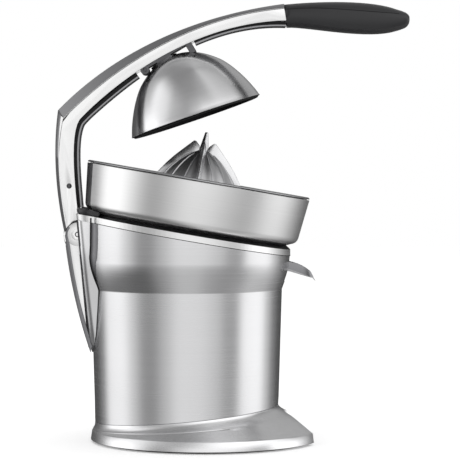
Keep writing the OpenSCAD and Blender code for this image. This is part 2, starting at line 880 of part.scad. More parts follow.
// ---- Dome ----
dome_at = tilt_pin_at + dome_along * [cos(saddle_angle), sin(saddle_angle)]
    + (dome_r - 2) * [sin(saddle_angle), -cos(saddle_angle)];
dome_steps = 14;
function dome_pt(a, d) = (dome_r - 2 * a / 90 - 3.4 * pow(sin(2 * a), 2) - d) * [cos(a), sin(a)];
function dome_line(d) = [for (i = [0:dome_steps]) let (p = dome_pt(90 * i / dome_steps, d)) [max(0, p[0]), p[1]]];
module at_dome() {
    at_pin()
        translate([dome_at[0], 0, dome_at[1]])
            rotate([0, -dome_lean, 0])
                children();
}
module dome_solid(d) {
    rotate_extrude()
        polygon(concat([[0, 0]], dome_line(d)));
}
module dome_shell() {
    color(steel)
        at_dome()
            difference() {
                dome_solid(0);
                translate([0, 0, -thin])
                    dome_solid(dome_t);
                dome_screw_places()
                    cylinder(h = 40, r = dome_screw_r + seat_gap, center = true);
            }
}
// The ring of three screws that hold the dome on its saddle
screw_ring = 8;
dome_screw_r = 2;
dome_screw_top = 2.7;
dome_screw_head = -3.7;
module dome_screw_places() {
    rotate([0, dome_lean - saddle_angle, 0])
        for (a = [0, 120, 240])
            rotate([0, 0, a])
                translate([screw_ring, 0, dome_r - 2])
                    children();
}
module dome_liner() {
    lip = 5;
    gap = dome_t + seat_gap;
    inner = [for (i = [0:10]) [cavity_r * cos(9 * i), cavity_d * sin(9 * i)]];
    outer = [for (i = [10:-1:1]) [(cavity_r + liner_t) * cos(9 * i), (cavity_d + liner_t) * sin(9 * i)]];
    color(dark)
        at_dome()
            intersection() {
                dome_solid(gap);
                union() {
                    rotate_extrude()
                        polygon(concat([[cavity_r, -1]], [for (p = inner) [max(0, p[0]), p[1]]],
                            [for (p = outer) [max(0, p[0]), p[1]]], [[big / 4, lip], [big / 4, -1]]));
                    for (i = [0:1:dome_ribs - 1])
                        rotate([0, 0, (i + 0.5) * 360 / dome_ribs])
                            difference() {
                                rotate([90, 0, 0])
                                    linear_extrude(3, center = true)
                                        polygon([for (a = [10:10:70])
                                            [(cavity_r + 1) * cos(a), (cavity_d + 1) * sin(a)],
                                            for (a = [70:-10:10])
                                            [(cavity_r - 3) * cos(a), (cavity_d - 3) * sin(a)]]);
                            }
                }
            }
}
module dome_saddle() {
    color(polished)
        difference() {
            at_pin()
                translate([tilt_pin_at[0], 0, tilt_pin_at[1]])
                    rotate([0, -saddle_angle, 0]) {
                        side_plate(2 * (channel_half - side_gap)) {
                            circle(eye_r - 0.3);
                            translate([0, 4 - saddle_t])
                                square([saddle_l, saddle_t]);
                            translate([dome_along - 6, -12])
                                square([16, 15]);
                            translate([saddle_l - stop_l - 0.3, -10])
                                square([stop_l, 13]);
                        }
                        translate([dome_along + 1, 0, -8])
                            cylinder(h = 7, r = pad_r);
                    }
            at_dome()
                dome_solid(-seat_gap);
            at_dome()
                dome_screw_places()
                    translate([0, 0, -10])
                        cylinder(h = 10 + dome_screw_top + 0.2, r = dome_screw_r + seat_gap);
            at_pin()
                cross_rod(tilt_pin_at, tilt_pin_r + run_fit, big);
        }
}
module dome_pivot_pin() {
    color(cast)
        at_pin()
            cross_rod(tilt_pin_at, tilt_pin_r, tilt_pin_w);
}
module dome_screws() {
    color(cast)
        at_dome()
            dome_screw_places()
                translate([0, 0, dome_screw_head - head_t]) {
                    cylinder(h = head_t, r = 3.4);
                    cylinder(h = dome_screw_top - dome_screw_head + head_t, r = dome_screw_r);
                }
}

// ---- Bowl ----
bowl_foot_w = deck_w + 5.5;
bowl_r_foot = bowl_r - bowl_taper;
bowl_seat_r = min(deck_edge_r, bowl_r_foot - 10.8);
steel_top_w = bowl_top_w - bowl_rim_h - seat_gap;
module juice_bowl() {
    inner_r = bowl_r - bowl_t;
    color(steel)
        difference() {
            tilted()
                rotate_extrude()
                    polygon([[hub_r + 1, deck_w + seat_gap], [bowl_seat_r, deck_w + seat_gap],
                        [bowl_r_foot - 4, bowl_foot_w - 1.6], [bowl_r_foot - 1.2, bowl_foot_w],
                        [bowl_r_foot, bowl_foot_w + 2.4], [bowl_r, steel_top_w],
                        [inner_r, steel_top_w], [bowl_r_foot - bowl_t, bowl_foot_w + 3],
                        [bowl_r_foot - bowl_t - 2.4, bowl_foot_w + 0.6],
                        [bowl_seat_r - 0.4, deck_w + seat_gap + bowl_t], [hub_r + 1, deck_w + seat_gap + bowl_t]]);
            arm_swing_cut();
            duct_hole(duct_r + inner_t + seat_gap);
        }
    color(steel)
        bowl_relief_wall();
}
// The wall that closes the bowl behind the arm, so that the arm can pass
module bowl_relief_wall() {
    inner = [for (p = run(front_low, 10)) swung(p, press_angle)];
    edge = [for (p = inner) p + [swing_gap, 0]];
    intersection() {
        at_pin()
            difference() {
                side_plate(arm_w + 2 * swing_gap + 2 * bowl_t)
                    polygon(concat([[-60, edge[0][1]]], [for (p = edge) p + [bowl_t, 0]],
                        [[edge[10][0] + 4 + bowl_t, 0], [-60, 0]]));
                side_plate(arm_w + 2 * swing_gap)
                    polygon(concat([[-61, edge[0][1] + 1]], edge, [[edge[10][0] + 4, -1], [-61, -1]]));
            }
        tilted()
            rotate_extrude()
                polygon([[60, deck_w + seat_gap + bowl_t], [bowl_seat_r, deck_w + seat_gap + 0.3],
                    [bowl_r_foot - 4.2, bowl_foot_w - 1.5],
                    [bowl_r_foot - 1.3, bowl_foot_w + 0.1], [bowl_r_foot - 0.1, bowl_foot_w + 2.4],
                    [bowl_r - 0.1, steel_top_w], [60, steel_top_w]]);
    }
}
module bowl_rim() {
    round_r = bowl_rim_h * 0.8;
    color(steel)
        difference() {
            tilted()
                rotate_extrude()
                    polygon([[bowl_r - bowl_t - 4.5, bowl_top_w], [bowl_r - bowl_t - 4.5, bowl_top_w - bowl_rim_h],
                        [bowl_r - 0.4, bowl_top_w - bowl_rim_h], [bowl_r - 0.4, bowl_top_w - round_r],
                        [bowl_r - 1, bowl_top_w - 0.6], [bowl_r - 2.2, bowl_top_w]]);
            arm_swing_cut();
        }
}
module duct_hole(r) {
    tilted()
        translate([duct_at, 0, 0])
            cylinder(h = inner_floor_w + 10, r = r);
}
inner_r_top = bowl_r - bowl_t - 5;
inner_r_foot = bowl_r_foot - bowl_t - 4;
duct_at = inner_r_foot - inner_t - duct_r - duct_in;
module inner_bowl() {
    flange_w = bowl_top_w - bowl_rim_h - seat_gap;
    collar_top = cone_foot_w - 3;
    wall_in = arm_swing_in();
    color(black)
        difference() {
            union() {
                tilted()
                    rotate_extrude()
                        polygon([[hub_r - inner_t, inner_floor_w - inner_t - 2], [inner_r_foot - 3, inner_floor_w - inner_t],
                            [inner_r_foot, inner_floor_w + 1], [inner_r_top, flange_w - 1.2],
                            [bowl_r - bowl_t - 1, flange_w - 1.2], [bowl_r - bowl_t - 1, flange_w],
                            [inner_r_top - inner_t, flange_w], [inner_r_foot - inner_t, inner_floor_w + 2],
                            [inner_r_foot - inner_t - 3, inner_floor_w], [hub_r, inner_floor_w - 2],
                            [hub_r, collar_top], [hub_r - inner_t, collar_top]]);
                tilted()
                    translate([duct_at, 0, duct_foot_w])
                        cylinder(h = inner_floor_w - duct_foot_w - 0.2, r = duct_r + inner_t);
                intersection() {
                    translate([wall_in + inner_t / 2, 0, 0])
                        cube([inner_t, 2 * (arm_w / 2 + 9), big], center = true);
                    tilted()
                        rotate_extrude()
                            polygon([[40, inner_floor_w - 0.5], [inner_r_foot - 2, inner_floor_w - 0.5],
                                [inner_r_top - 0.5, flange_w], [40, flange_w]]);
                }
            }
            tilted()
                translate([duct_at, 0, duct_foot_w - 1])
                    cylinder(h = big, r = duct_r);
            translate([wall_in - 50, 0, 0])
                cube([100, 2 * (arm_w / 2 + swing_gap + bowl_t + 1.5), 2 * big], center = true);
        }
}
duct_foot_w = 2;
// The flat wall of the inner bowl behind the arm
function arm_swing_in() = max([for (p = run(front_low, 10)) swung(p, press_angle)[0]])
    + pin_at[0] + swing_gap + bowl_t + 1;

// ---- Filter ----
filter_r = inner_r_top - filter_inset;
module filter_basket() {
    rest_w = bowl_top_w - 9;
    drop = 9;
    back_cut = arm_swing_in() + inner_t + 0.8;
    color(steel)
        difference() {
            tilted()
                rotate_extrude()
                    polygon([[filter_in_r, cone_foot_w + 3], [filter_in_r + filter_t, cone_foot_w + 3],
                        [filter_in_r + filter_t, rest_w - drop + filter_t - 2],
                        [filter_r - 6, rest_w - 2 + filter_t - 2],
                        [filter_r - filter_t, rest_w + 4], [filter_r, rest_w + 4],
                        [filter_r - 5, rest_w - 2 - 2], [filter_in_r, rest_w - drop - 2]]);
            tilted()
                for (i = [0:filter_slots - 1])
                    rotate([0, 0, (i + 0.5) * 360 / filter_slots])
                        translate([(filter_r + filter_in_r) / 2, 0, rest_w - 4])
                            cube([filter_r - filter_in_r - 16, slot_w, 24], center = true);
            translate([back_cut - 50, 0, 0])
                cube([100, big, 2 * big], center = true);
        }
}

// ---- Reamer ----
cone_curve = [[cone_r, cone_foot_w], [cone_r - 8, cone_foot_w + 22], [cone_r - 24, cone_top_w - 8],
    [3, cone_top_w]];
cone_steps = 12;
socket_r = 9;
socket_top_w = cone_top_w - 14;
module reamer_cone() {
    outline = run(cone_curve, cone_steps);
    hollow = [for (p = outline) if (p[1] < cone_top_w - 9) [p[0] - cone_t, p[1]]];
    color(polished)
        tilted()
            difference() {
                union() {
                    rotate_extrude()
                        polygon(concat([[0, cone_foot_w]], outline, [[0, cone_top_w + 0.8]]));
                    for (q = [0:3], k = [1:ribs_per_side])
                        rotate([0, 0, 90 * q + 90 * k / (ribs_per_side + 1)])
                            side_plate(2.4)
                                polygon(concat([[0, cone_foot_w + 4]],
                                    [for (i = [1:cone_steps - 2]) outline[i] + [2.1, 0.6]],
                                    [[0, cone_top_w - 6]]));
                }
                difference() {
                    rotate_extrude()
                        polygon(concat([[0, cone_foot_w - 1], [hollow[0][0], cone_foot_w - 1]], hollow,
                            [[0, hollow[len(hollow) - 1][1]]]));
                    cylinder(h = big, r = socket_r);
                }
                translate([0, 0, cone_foot_w - 5])
                    cylinder(h = socket_top_w - cone_foot_w + 5, r = spindle_r + seat_gap);
                for (a = [0, 90])
                    rotate([0, 0, a])
                        translate([0, 0, cone_foot_w + (tip_w - cone_foot_w) / 2 + 3])
                            cube([2 * cone_r, fin_t + 2 * seat_gap, tip_w - cone_foot_w], center = true);
            }
}
// The four big fins as one crossed insert, with the taller centre blade
module reamer_fins() {
    fin_foot = cone_foot_w + 3.2;
    outer = [[cone_r + 2.5, fin_foot], [42.5, cone_foot_w + 20], [27.8, cone_foot_w + 39.5], [11.4, cone_top_w + 6.8],
        [9.4, cone_top_w + 6.8]];
    low = [[5, cone_top_w + 2.6], [0, cone_top_w + 2.6]];
    blade = [[3.6, cone_top_w + 2.6], [1.6, tip_w - 1.4], [0.8, tip_w], [0, tip_w]];
    foot = [[cone_r + 2.5, fin_foot], [0, fin_foot]];
    function half(points) = concat([[0, socket_top_w + 1]], [[socket_r, socket_top_w + 1], [socket_r, fin_foot]], points);
    color(polished)
        tilted() {
            for (a = [0, 90], s = [0, 180])
                rotate([0, 0, a + s])
                    side_plate(fin_t)
                        polygon(half(concat(outer, a == 0 ? low : blade)));
            translate([0, 0, cone_top_w + 1])
                cylinder(h = tip_w - cone_top_w - 1, r1 = core_r, r2 = core_tip_r);
        }
}

// ---- Drive ----
lay_a = gear_m * (pinion_z + lay_z) / 2;
out_z = pinion_z + lay_z - lay_pinion_z;
lay_at = [0, lay_a];
slow_w = -5;
gear_gap = 1.2;
fast_w = slow_w - slow_b / 2 - gear_gap - 2 - gear_gap - fast_b / 2;
mid_plate_w = slow_w - slow_b / 2 - gear_gap - 1;
box_top_w = slow_w + slow_b / 2 + 2;
box_foot_w = fast_w - fast_b / 2 - 2 - gearbox_t;
backlash = 0.12;
pressure = 20;

// A spur gear outline with one tooth centred on the x axis
function inv_angle(a) = tan(a) * 180 / PI - a;
function tooth_half(z, q) = let (r = gear_m * z / 2, rb = r * cos(pressure))
    90 / z - backlash / r * 90 / PI + inv_angle(pressure) - inv_angle(acos(min(1, rb / max(q, rb))));
module gear_outline(z) {
    r = gear_m * z / 2;
    rf = r - 1.25 * gear_m;
    rb = max(rf + 0.05, r * cos(pressure));
    flank = [rf, rb, (rb + r) / 2, r, r + gear_m / 2, r + gear_m];
    polygon([for (i = [0:z - 1], s = [-1, 1], k = [0:5])
        let (q = s < 0 ? flank[k] : flank[5 - k], a = 360 * i / z + s * tooth_half(z, q)) q * [cos(a), sin(a)]]);
}
module gear(z, b, bore) {
    translate([0, 0, -b / 2])
        difference() {
            linear_extrude(b)
                gear_outline(z);
            translate([0, 0, -1])
                cylinder(h = b + 2, r = bore);
        }
}
module box_outline(grow) {
    circle(gear_m * out_z / 2 + 4 + grow);
    translate(lay_at)
        circle(gear_m * lay_z / 2 + 4 + grow);
    translate([-(gear_m * out_z / 2 + 4 + grow), 0])
        square([2 * (gear_m * out_z / 2 + 4 + grow), lay_a]);
}
box_screws = [[-27, -17], [27, -17], [-28, lay_a + 16], [28, lay_a + 16]];
module gearbox_housing() {
    color(cast)
        tilted()
            difference() {
                translate([0, 0, box_foot_w])
                    linear_extrude(box_top_w - box_foot_w)
                        union() {
                            box_outline(gearbox_t);
                            for (p = box_screws)
                                translate(p)
                                    circle(4.5);
                        }
                difference() {
                    translate([0, 0, box_foot_w + gearbox_t])
                        linear_extrude(big)
                            box_outline(0);
                    translate([0, 0, mid_plate_w - 1])
                        linear_extrude(2)
                            box_outline(1);
                    for (p = box_screws)
                        translate(p)
                            cylinder(h = big, r = 4.5, center = true);
                }
                translate([0, 0, mid_plate_w])
                    cylinder(h = 10, r = spindle_r + side_gap, center = true);
                translate([lay_at[0], lay_at[1], mid_plate_w])
                    cylinder(h = 10, r = gear_m * lay_pinion_z / 2 + 2, center = true);
                translate([0, 0, box_foot_w - 1])
                    cylinder(h = 10, r = gear_m * pinion_z / 2 + gear_m + 0.6);
                translate([lay_at[0], lay_at[1], box_foot_w - 1])
                    cylinder(h = 10, r = lay_pin_r + seat_gap);
                for (p = box_screws)
                    translate(p)
                        cylinder(h = big, r = 1.6, center = true);
            }
}
lay_pin_r = 3;
module gearbox_cover() {
    color(cast)
        tilted()
            difference() {
                union() {
                    translate([0, 0, box_top_w])
                        linear_extrude(cover_t)
                            union() {
                                box_outline(gearbox_t);
                                for (p = box_screws)
                                    translate(p)
                                        circle(4.5);
                            }
                    translate([0, 0, box_top_w])
                        cylinder(h = deck_w - box_top_w + 9, r = bearing_r + 3);
                    translate([0, 0, deck_w - deck_t - 3.2])
                        cylinder(h = 3, r = deck_in_r + 14);
                }
                translate([0, 0, box_top_w - 1])
                    cylinder(h = big, r = bearing_r + seat_gap);
                translate([lay_at[0], lay_at[1], box_top_w - 1])
                    cylinder(h = 3, r = lay_pin_r + seat_gap);
                for (p = box_screws)
                    translate(p)
                        cylinder(h = 2 * (box_top_w + cover_t) + 60, r = 1.9, center = true);
            }
}
module gearbox_screws() {
    color(cast)
        tilted()
            for (p = box_screws)
                translate([p[0], p[1], box_top_w + cover_t + seat_gap]) {
                    cylinder(h = head_t, r = 3);
                    translate([0, 0, -13])
                        cylinder(h = 14, r = 1.5);
                }
}
module lay_gear() {
    color("ivory")
        tilted()
            translate([lay_at[0], lay_at[1], 0])
                difference() {
                    union() {
                        translate([0, 0, fast_w])
                            rotate([0, 0, 270 + 180 / lay_z])
                                gear(lay_z, fast_b, lay_pin_r + run_fit);
                        translate([0, 0, slow_w])
                            rotate([0, 0, 270])
                                gear(lay_pinion_z, slow_b, lay_pin_r + run_fit);
                        translate([0, 0, fast_w])
                            cylinder(h = slow_w - fast_w, r = gear_m * lay_pinion_z / 2 - 1.3 * gear_m);
                    }
                    cylinder(h = big, r = lay_pin_r + run_fit, center = true);
                }
}
module lay_pin() {
    color(cast)
        tilted()
            translate([lay_at[0], lay_at[1], box_foot_w])
                cylinder(h = box_top_w - box_foot_w + 1.9, r = lay_pin_r);
}
module output_gear() {
    color("ivory")
        tilted()
            translate([0, 0, slow_w])
                rotate([0, 0, 90 + 180 / out_z])
                    gear(out_z, slow_b, spindle_r + seat_gap);
}
module drive_spindle() {
    color(cast)
        tilted()
            translate([0, 0, slow_w - slow_b / 2 - 0.2])
                cylinder(h = socket_top_w - 1 - slow_w + slow_b / 2, r = spindle_r);
}
bearing_r = 11;
module spindle_bearing() {
    color(brass)
        tilted()
            for (w = [box_top_w + 1.5, deck_w - 1])
                translate([0, 0, w])
                    difference() {
                        cylinder(h = 7, r = bearing_r);
                        translate([0, 0, -1])
                            cylinder(h = 9, r = spindle_r + run_fit);
                    }
}
module shaft_seal() {
    color(rubber)
        tilted()
            translate([0, 0, deck_w + 9.2])
                difference() {
                    cylinder(h = 4, r = bearing_r + 3);
                    translate([0, 0, -1])
                        cylinder(h = 9, r = spindle_r + 0.3);
                }
}
motor_top_w = box_foot_w - seat_gap;
can_t = 2.5;
magnet_t = 6;
module motor_can() {
    color(cast)
        tilted()
            difference() {
                translate([0, 0, motor_top_w - motor_l])
                    cylinder(h = motor_l, r = motor_r);
                translate([0, 0, motor_top_w - motor_l - 1])
                    cylinder(h = motor_l - can_t + 1, r = motor_r - can_t - magnet_t);
                translate([0, 0, motor_top_w - motor_l - 1])
                    cylinder(h = 9, r = motor_r - can_t);
                cylinder(h = big, r = shaft_r + run_fit, center = true);
            }
}
module motor_endbell() {
    color(black)
        tilted()
            difference() {
                union() {
                    translate([0, 0, motor_top_w - motor_l])
                        cylinder(h = 7.8, r = motor_r - can_t - seat_gap);
                    translate([0, 0, motor_top_w - motor_l - 5])
                        cylinder(h = 6, r = 14);
                }
                translate([0, 0, motor_top_w - motor_l - 6])
                    cylinder(h = 20, r = shaft_r + run_fit);
            }
}
module motor_rotor() {
    core_l = motor_l - can_t - 8 - 8;
    color("peru")
        tilted() {
            translate([0, 0, motor_top_w - can_t - 4 - core_l])
                cylinder(h = core_l, r = motor_r - can_t - magnet_t - 1);
            translate([0, 0, motor_top_w - motor_l - 4])
                cylinder(h = fast_w + fast_b / 2 - motor_top_w + motor_l + 4, r = shaft_r);
        }
}
module motor_pinion() {
    color(brass)
        tilted()
            translate([0, 0, fast_w])
                rotate([0, 0, 90])
                    gear(pinion_z, fast_b, shaft_r + run_fit);
}

// ---- Spout ----
spout_pin_at = [head_r - spout_pin_in, spout_pin_z];
spout_tip = spout_pin_at + [spout_reach, -spout_drop];
spout_cheek = moved([[-9, 7.5], [8, 7.2], [21, 4.5], [31.5, -4.5]] * spout_reach / 36.3, spout_pin_at);
spout_floor = moved([[32.7, -10.8], [10.1, -4.1], [-7, -1]] * spout_reach / 36.3, spout_pin_at);
spout_heel = spout_pin_at + [-9, 1];
spout_straight = spout_pin_at[0] + 19;
module spout_side(grow = 0) {
    polygon(concat(run(spout_cheek, 8, 0, 1, -grow), [spout_tip + [grow, -grow]],
        [for (p = spout_floor) p - [0, grow]], [spout_heel - [grow, grow]]));
}
module spout_plan(w, cut) {
    x0 = spout_heel[0] - 6 + cut;
    translate([x0, -w / 2])
        square([spout_straight - x0, w]);
    translate([spout_straight, 0])
        scale_oval(spout_tip[0] + 0.5 - cut - spout_straight, w / 2);
}
// Half an oval towards the tip, as a polygon with equal steps of angle
module scale_oval(a, b) {
    polygon([for (q = [-90:7.5:90]) [a * cos(q), b * sin(q)]]);
}
module spout() {
    color(steel)
        difference() {
            intersection() {
                side_plate(spout_w)
                    spout_side();
                translate([0, 0, spout_pin_z - 77])
                    linear_extrude(150)
                        spout_plan(spout_w, 0);
            }
            intersection() {
                side_plate(spout_w)
                    translate([0, spout_t * 1.2])
                        polygon(concat([spout_heel + [-6, big / 10], spout_tip + [big / 30, big / 10],
                            spout_tip + [big / 30, 2.3], spout_tip + [-1, 1]], spout_floor,
                            [spout_heel - [6, 0]]));
                translate([0, 0, spout_pin_z - 77])
                    linear_extrude(150)
                        translate([-spout_t * 1.2, 0])
                            spout_plan(spout_w - 2 * spout_t, -2);
            }
            cross_rod(spout_pin_at, spout_pin_r + run_fit, big);
        }
}
module spout_pin() {
    color(cast)
        cross_rod(spout_pin_at, spout_pin_r, spout_w + 7);
}
// A yoke under the deck that carries the spout's pin
module spout_bracket() {
    ear_in = spout_w / 2 + side_gap;
    color(dark)
        difference() {
            union() {
                side_pair(ear_in, yoke_t) {
                    translate(spout_pin_at)
                        circle(5);
                    translate(spout_pin_at - [5, 0])
                        square([10, big]);
                }
                tilted_slab(deck_w - deck_t - yoke_t, deck_w - deck_t)
                    side_plate(2 * (ear_in + yoke_t))
                        translate(spout_pin_at - [20, 27])
                            square([25, 100]);
            }
            tilted()
                translate([0, 0, big / 2 + deck_w - deck_t])
                    cube([big, big, big], center = true);
            duct_hole(duct_r + inner_t + side_gap);
            cross_rod(spout_pin_at, spout_pin_r + seat_gap, big);
        }
}
yoke_t = 3;
module spout_window(gap) {
    translate([spout_pin_at[0] + 5, 0, spout_pin_z - 1])
        cube([60, spout_w + 2 * gap, 27], center = true);
}

// ---- Switch ----
switch_pin_r = 2;
switch_tip_r = 0.8;
switch_tip_l = 1.2;
switch_pin_l = 10;
switch_body = [14, 20, 10];
switch_face = pocket_x + pocket_wall - (pin_at[0] + knuckle_r + side_gap);
module switch_place() {
    translate([pin_at[0] + knuckle_r + side_gap, 0, pin_at[1]])
        rotate([0, 90, 0])
            children();
}
module microswitch() {
    color(black)
        switch_place()
            translate([0, 0, switch_face])
                difference() {
                    translate([0, 0, switch_body[0] / 2])
                        cube([switch_body[2], switch_body[1], switch_body[0]], center = true);
                    translate([0, 0, -1])
                        cylinder(h = switch_pin_l - switch_face + 3, r = switch_pin_r + run_fit);
                }
}
module switch_plunger() {
    color("firebrick")
        switch_place() {
            cylinder(h = switch_tip_l, r1 = switch_tip_r, r2 = switch_pin_r);
            translate([0, 0, switch_tip_l])
                cylinder(h = switch_pin_l - switch_tip_l, r = switch_pin_r);
        }
}

base_skirt();
base_plate();
foot_ring();
base_screws();
cord_gland();
body_shell();
rear_housing();
hinge_pocket();
collar_ring();
top_deck();
rear_cap();
hinge_bracket();
bracket_screws();
hinge_pin();
pin_caps();
lever_arm();
hinge_bushes();
arm_top_strip();
arm_inner_strip();
arm_under_cover();
arm_cross_screw();
handle_grip();
grip_tang();
dome_shell();
dome_liner();
dome_saddle();
dome_pivot_pin();
dome_screws();
juice_bowl();
bowl_rim();
inner_bowl();
filter_basket();
reamer_cone();
reamer_fins();
drive_spindle();
output_gear();
spindle_bearing();
shaft_seal();
spout();
spout_pin();
spout_bracket();
gearbox_housing();
gearbox_cover();
gearbox_screws();
lay_gear();
lay_pin();
motor_can();
motor_endbell();
motor_rotor();
motor_pinion();
microswitch();
switch_plunger();
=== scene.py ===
"""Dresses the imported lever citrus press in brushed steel, polished alloy and black moulded parts."""
import json
import math

import bmesh
import bpy
from mathutils import Matrix, Vector
from mathutils.bvhtree import BVHTree


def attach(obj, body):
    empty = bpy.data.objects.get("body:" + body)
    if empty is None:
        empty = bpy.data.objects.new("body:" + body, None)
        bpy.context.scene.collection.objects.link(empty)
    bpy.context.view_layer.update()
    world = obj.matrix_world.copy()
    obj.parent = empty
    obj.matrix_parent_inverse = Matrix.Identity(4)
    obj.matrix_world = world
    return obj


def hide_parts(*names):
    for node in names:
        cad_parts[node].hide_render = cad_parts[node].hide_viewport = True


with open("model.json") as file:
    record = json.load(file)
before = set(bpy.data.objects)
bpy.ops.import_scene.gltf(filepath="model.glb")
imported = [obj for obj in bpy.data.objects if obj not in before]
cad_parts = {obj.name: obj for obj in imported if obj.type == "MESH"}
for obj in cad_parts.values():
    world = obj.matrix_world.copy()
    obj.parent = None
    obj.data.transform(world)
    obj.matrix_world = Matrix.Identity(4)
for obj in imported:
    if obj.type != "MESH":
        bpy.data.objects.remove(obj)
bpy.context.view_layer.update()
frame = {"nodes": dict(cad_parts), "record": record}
NODES = frame["nodes"]
BODY_OF = {node: body for body, nodes in frame["record"]["behaviour"]["bodies"].items() for node in nodes}

# ---- Sizes in millimetres, the same as the solids'; a level named W is along the tilted axis ----
MM = 0.001
HEAD_TILT = math.radians(9.8)
HEAD_CROSS_Z = 195.0
SEAM_TILT = math.radians(5.2)
SEAM_Z = 28.5
BODY_R_FOOT, BODY_R_WAIST, HEAD_R = 93.5, 97.2, 105.7
WAIST_Z, HEAD_Z = 155.0, 190.0
COLLAR_W = 12.0
BASE_R, BASE_X, RIM_Z, FOOT_H = 115.5, 19.0, 12.0, 2.0
DECK_W = 21.4
BOWL_R, BOWL_R_FOOT, BOWL_TOP_W, BOWL_RIM_H = 114.8, 110.0, 73.2, 2.2
PIN = (-109.8, 210.7)
DOME_PIN = (PIN[0] + 67.8, PIN[1] + 166.3)
DOME_AT = (9.0, 331.5)
DOME_LEAN = math.radians(-18.8)
# Beyond the object on every side, for cutters
FAR = 200.0

TILTED = Matrix.Translation((0, 0, HEAD_CROSS_Z)) @ Matrix.Rotation(HEAD_TILT, 4, "Y")
TILTED_METRES = Matrix.Translation(TILTED.translation * MM) @ TILTED.to_3x3().to_4x4()
DOME_PLACE = Matrix.Translation((DOME_AT[0], 0, DOME_AT[1])) @ Matrix.Rotation(DOME_LEAN, 4, "Y")


# ---- Finishes ----
# The stretch of a noise's values that a tint and a spread run over
TINT_FROM, TINT_TO = 0.3, 0.7
SPREAD_FROM, SPREAD_TO = 0.25, 0.75
METAL_RELIEF, MOULDED_RELIEF = 0.04, 0.06
BRUSH_STRENGTH = 0.05


def bare_tree(owner):
    """The empty node tree of a material or world."""
    owner.use_nodes = True
    owner.node_tree.nodes.clear()
    return owner.node_tree


def add_node(tree, kind, inputs=None, **settings):
    """A node with its settings, and with its inputs linked to other nodes' outputs or given values."""
    node = tree.nodes.new(kind)
    for name, value in settings.items():
        setattr(node, name, value)
    for key, value in (inputs or {}).items():
        if isinstance(value, bpy.types.NodeSocket):
            tree.links.new(value, node.inputs[key])
        else:
            node.inputs[key].default_value = value
    return node


def new_material(name):
    """A material and its empty node tree."""
    mat = bpy.data.materials.new(name)
    return mat, bare_tree(mat)


def surface(tree, **inputs):
    """One Principled shader as the whole material; an underscore in an input's name stands for a space."""
    named = {key.replace("_", " "): value for key, value in inputs.items()}
    shader = add_node(tree, "ShaderNodeBsdfPrincipled", named)
    add_node(tree, "ShaderNodeOutputMaterial", {"Surface": shader.outputs["BSDF"]})


def object_coords(tree, turn=(0, 0, 0), stretch=(1, 1, 1)):
    """The piece's own coordinates, turned and stretched."""
    place = add_node(tree, "ShaderNodeTexCoord").outputs["Object"]
    place = add_node(tree, "ShaderNodeMapping", {"Vector": place, "Rotation": turn}).outputs["Vector"]
    return add_node(tree, "ShaderNodeMapping", {"Vector": place, "Scale": stretch}).outputs["Vector"]


def math_node(tree, operation, first, second):
    """A Math node on links or numbers."""
    return add_node(tree, "ShaderNodeMath", {0: first, 1: second}, operation=operation).outputs[0]


def noise(tree, vector, scale, roughness, detail=3.0):
    inputs = {"Vector": vector, "Scale": scale, "Detail": detail, "Roughness": roughness}
    return add_node(tree, "ShaderNodeTexNoise", inputs).outputs["Fac"]


def tinted(tree, fac, colour, part):
    """The colour, which runs over a noise from darker to lighter by a part of itself."""
    node = add_node(tree, "ShaderNodeValToRGB", {"Fac": fac})
    low, high = node.color_ramp.elements
    low.position, high.position = TINT_FROM, TINT_TO
    low.color = (*(c * (1 - part) for c in colour), 1)
    high.color = (*(min(1.0, c * (1 + part)) for c in colour), 1)
    return node.outputs["Color"]


def spread(tree, fac, middle, reach):
    """A value that runs over a noise, by its reach to either side of its middle."""
    inputs = {"Value": fac, "From Min": SPREAD_FROM, "From Max": SPREAD_TO,
              "To Min": middle - reach, "To Max": middle + reach}
    return add_node(tree, "ShaderNodeMapRange", inputs).outputs["Result"]


def bumps(tree, fac, strength, depth):
    """Relief from a noise, at most depth millimetres deep."""
    inputs = {"Height": fac, "Strength": strength, "Distance": depth * MM}
    return add_node(tree, "ShaderNodeBump", inputs).outputs["Normal"]


def brushed(name, grey, rough, turn=(0, 0, 0), along=6.0, across=2200.0, axis="Z"):
    """Metal with fine parallel brush lines: they run along two axes and repeat across the third."""
    mat, tree = new_material(name)
    stretch = tuple(across if letter == axis else along for letter in "XYZ")
    lines = noise(tree, object_coords(tree, turn, stretch), scale=1.0, roughness=0.6)
    stains = noise(tree, object_coords(tree, turn), scale=14.0, roughness=0.55)
    gloss = math_node(tree, "ADD", spread(tree, lines, rough, 0.03), spread(tree, stains, 0.0, 0.02))
    surface(tree, Base_Color=tinted(tree, lines, grey, 0.03), Roughness=gloss, Metallic=1.0,
            Normal=bumps(tree, lines, BRUSH_STRENGTH, METAL_RELIEF))
    return mat


def cast_metal(name, grey, rough, grain=900.0, strength=0.15):
    """Metal with a fine even grain, as bead blasted or satin cast."""
    mat, tree = new_material(name)
    fine = noise(tree, object_coords(tree), grain, roughness=0.6, detail=4.0)
    broad = noise(tree, object_coords(tree), scale=22.0, roughness=0.5)
    surface(tree, Base_Color=tinted(tree, broad, grey, 0.04), Roughness=spread(tree, fine, rough, 0.04),
            Metallic=1.0, Normal=bumps(tree, fine, strength, METAL_RELIEF))
    return mat


def moulded(name, colour, rough, grain=1400.0, strength=0.25, sheen=0.0, gloss=0.5):
    """Plastic or rubber with a moulded grain and slightly uneven gloss."""
    mat, tree = new_material(name)
    fine = noise(tree, object_coords(tree), grain, roughness=0.6)
    broad = noise(tree, object_coords(tree), scale=30.0, roughness=0.55)
    surface(tree, Base_Color=tinted(tree, broad, colour, 0.12), Roughness=spread(tree, broad, rough, 0.05),
            Specular_IOR_Level=gloss, Sheen_Weight=sheen, Normal=bumps(tree, fine, strength, MOULDED_RELIEF))
    return mat


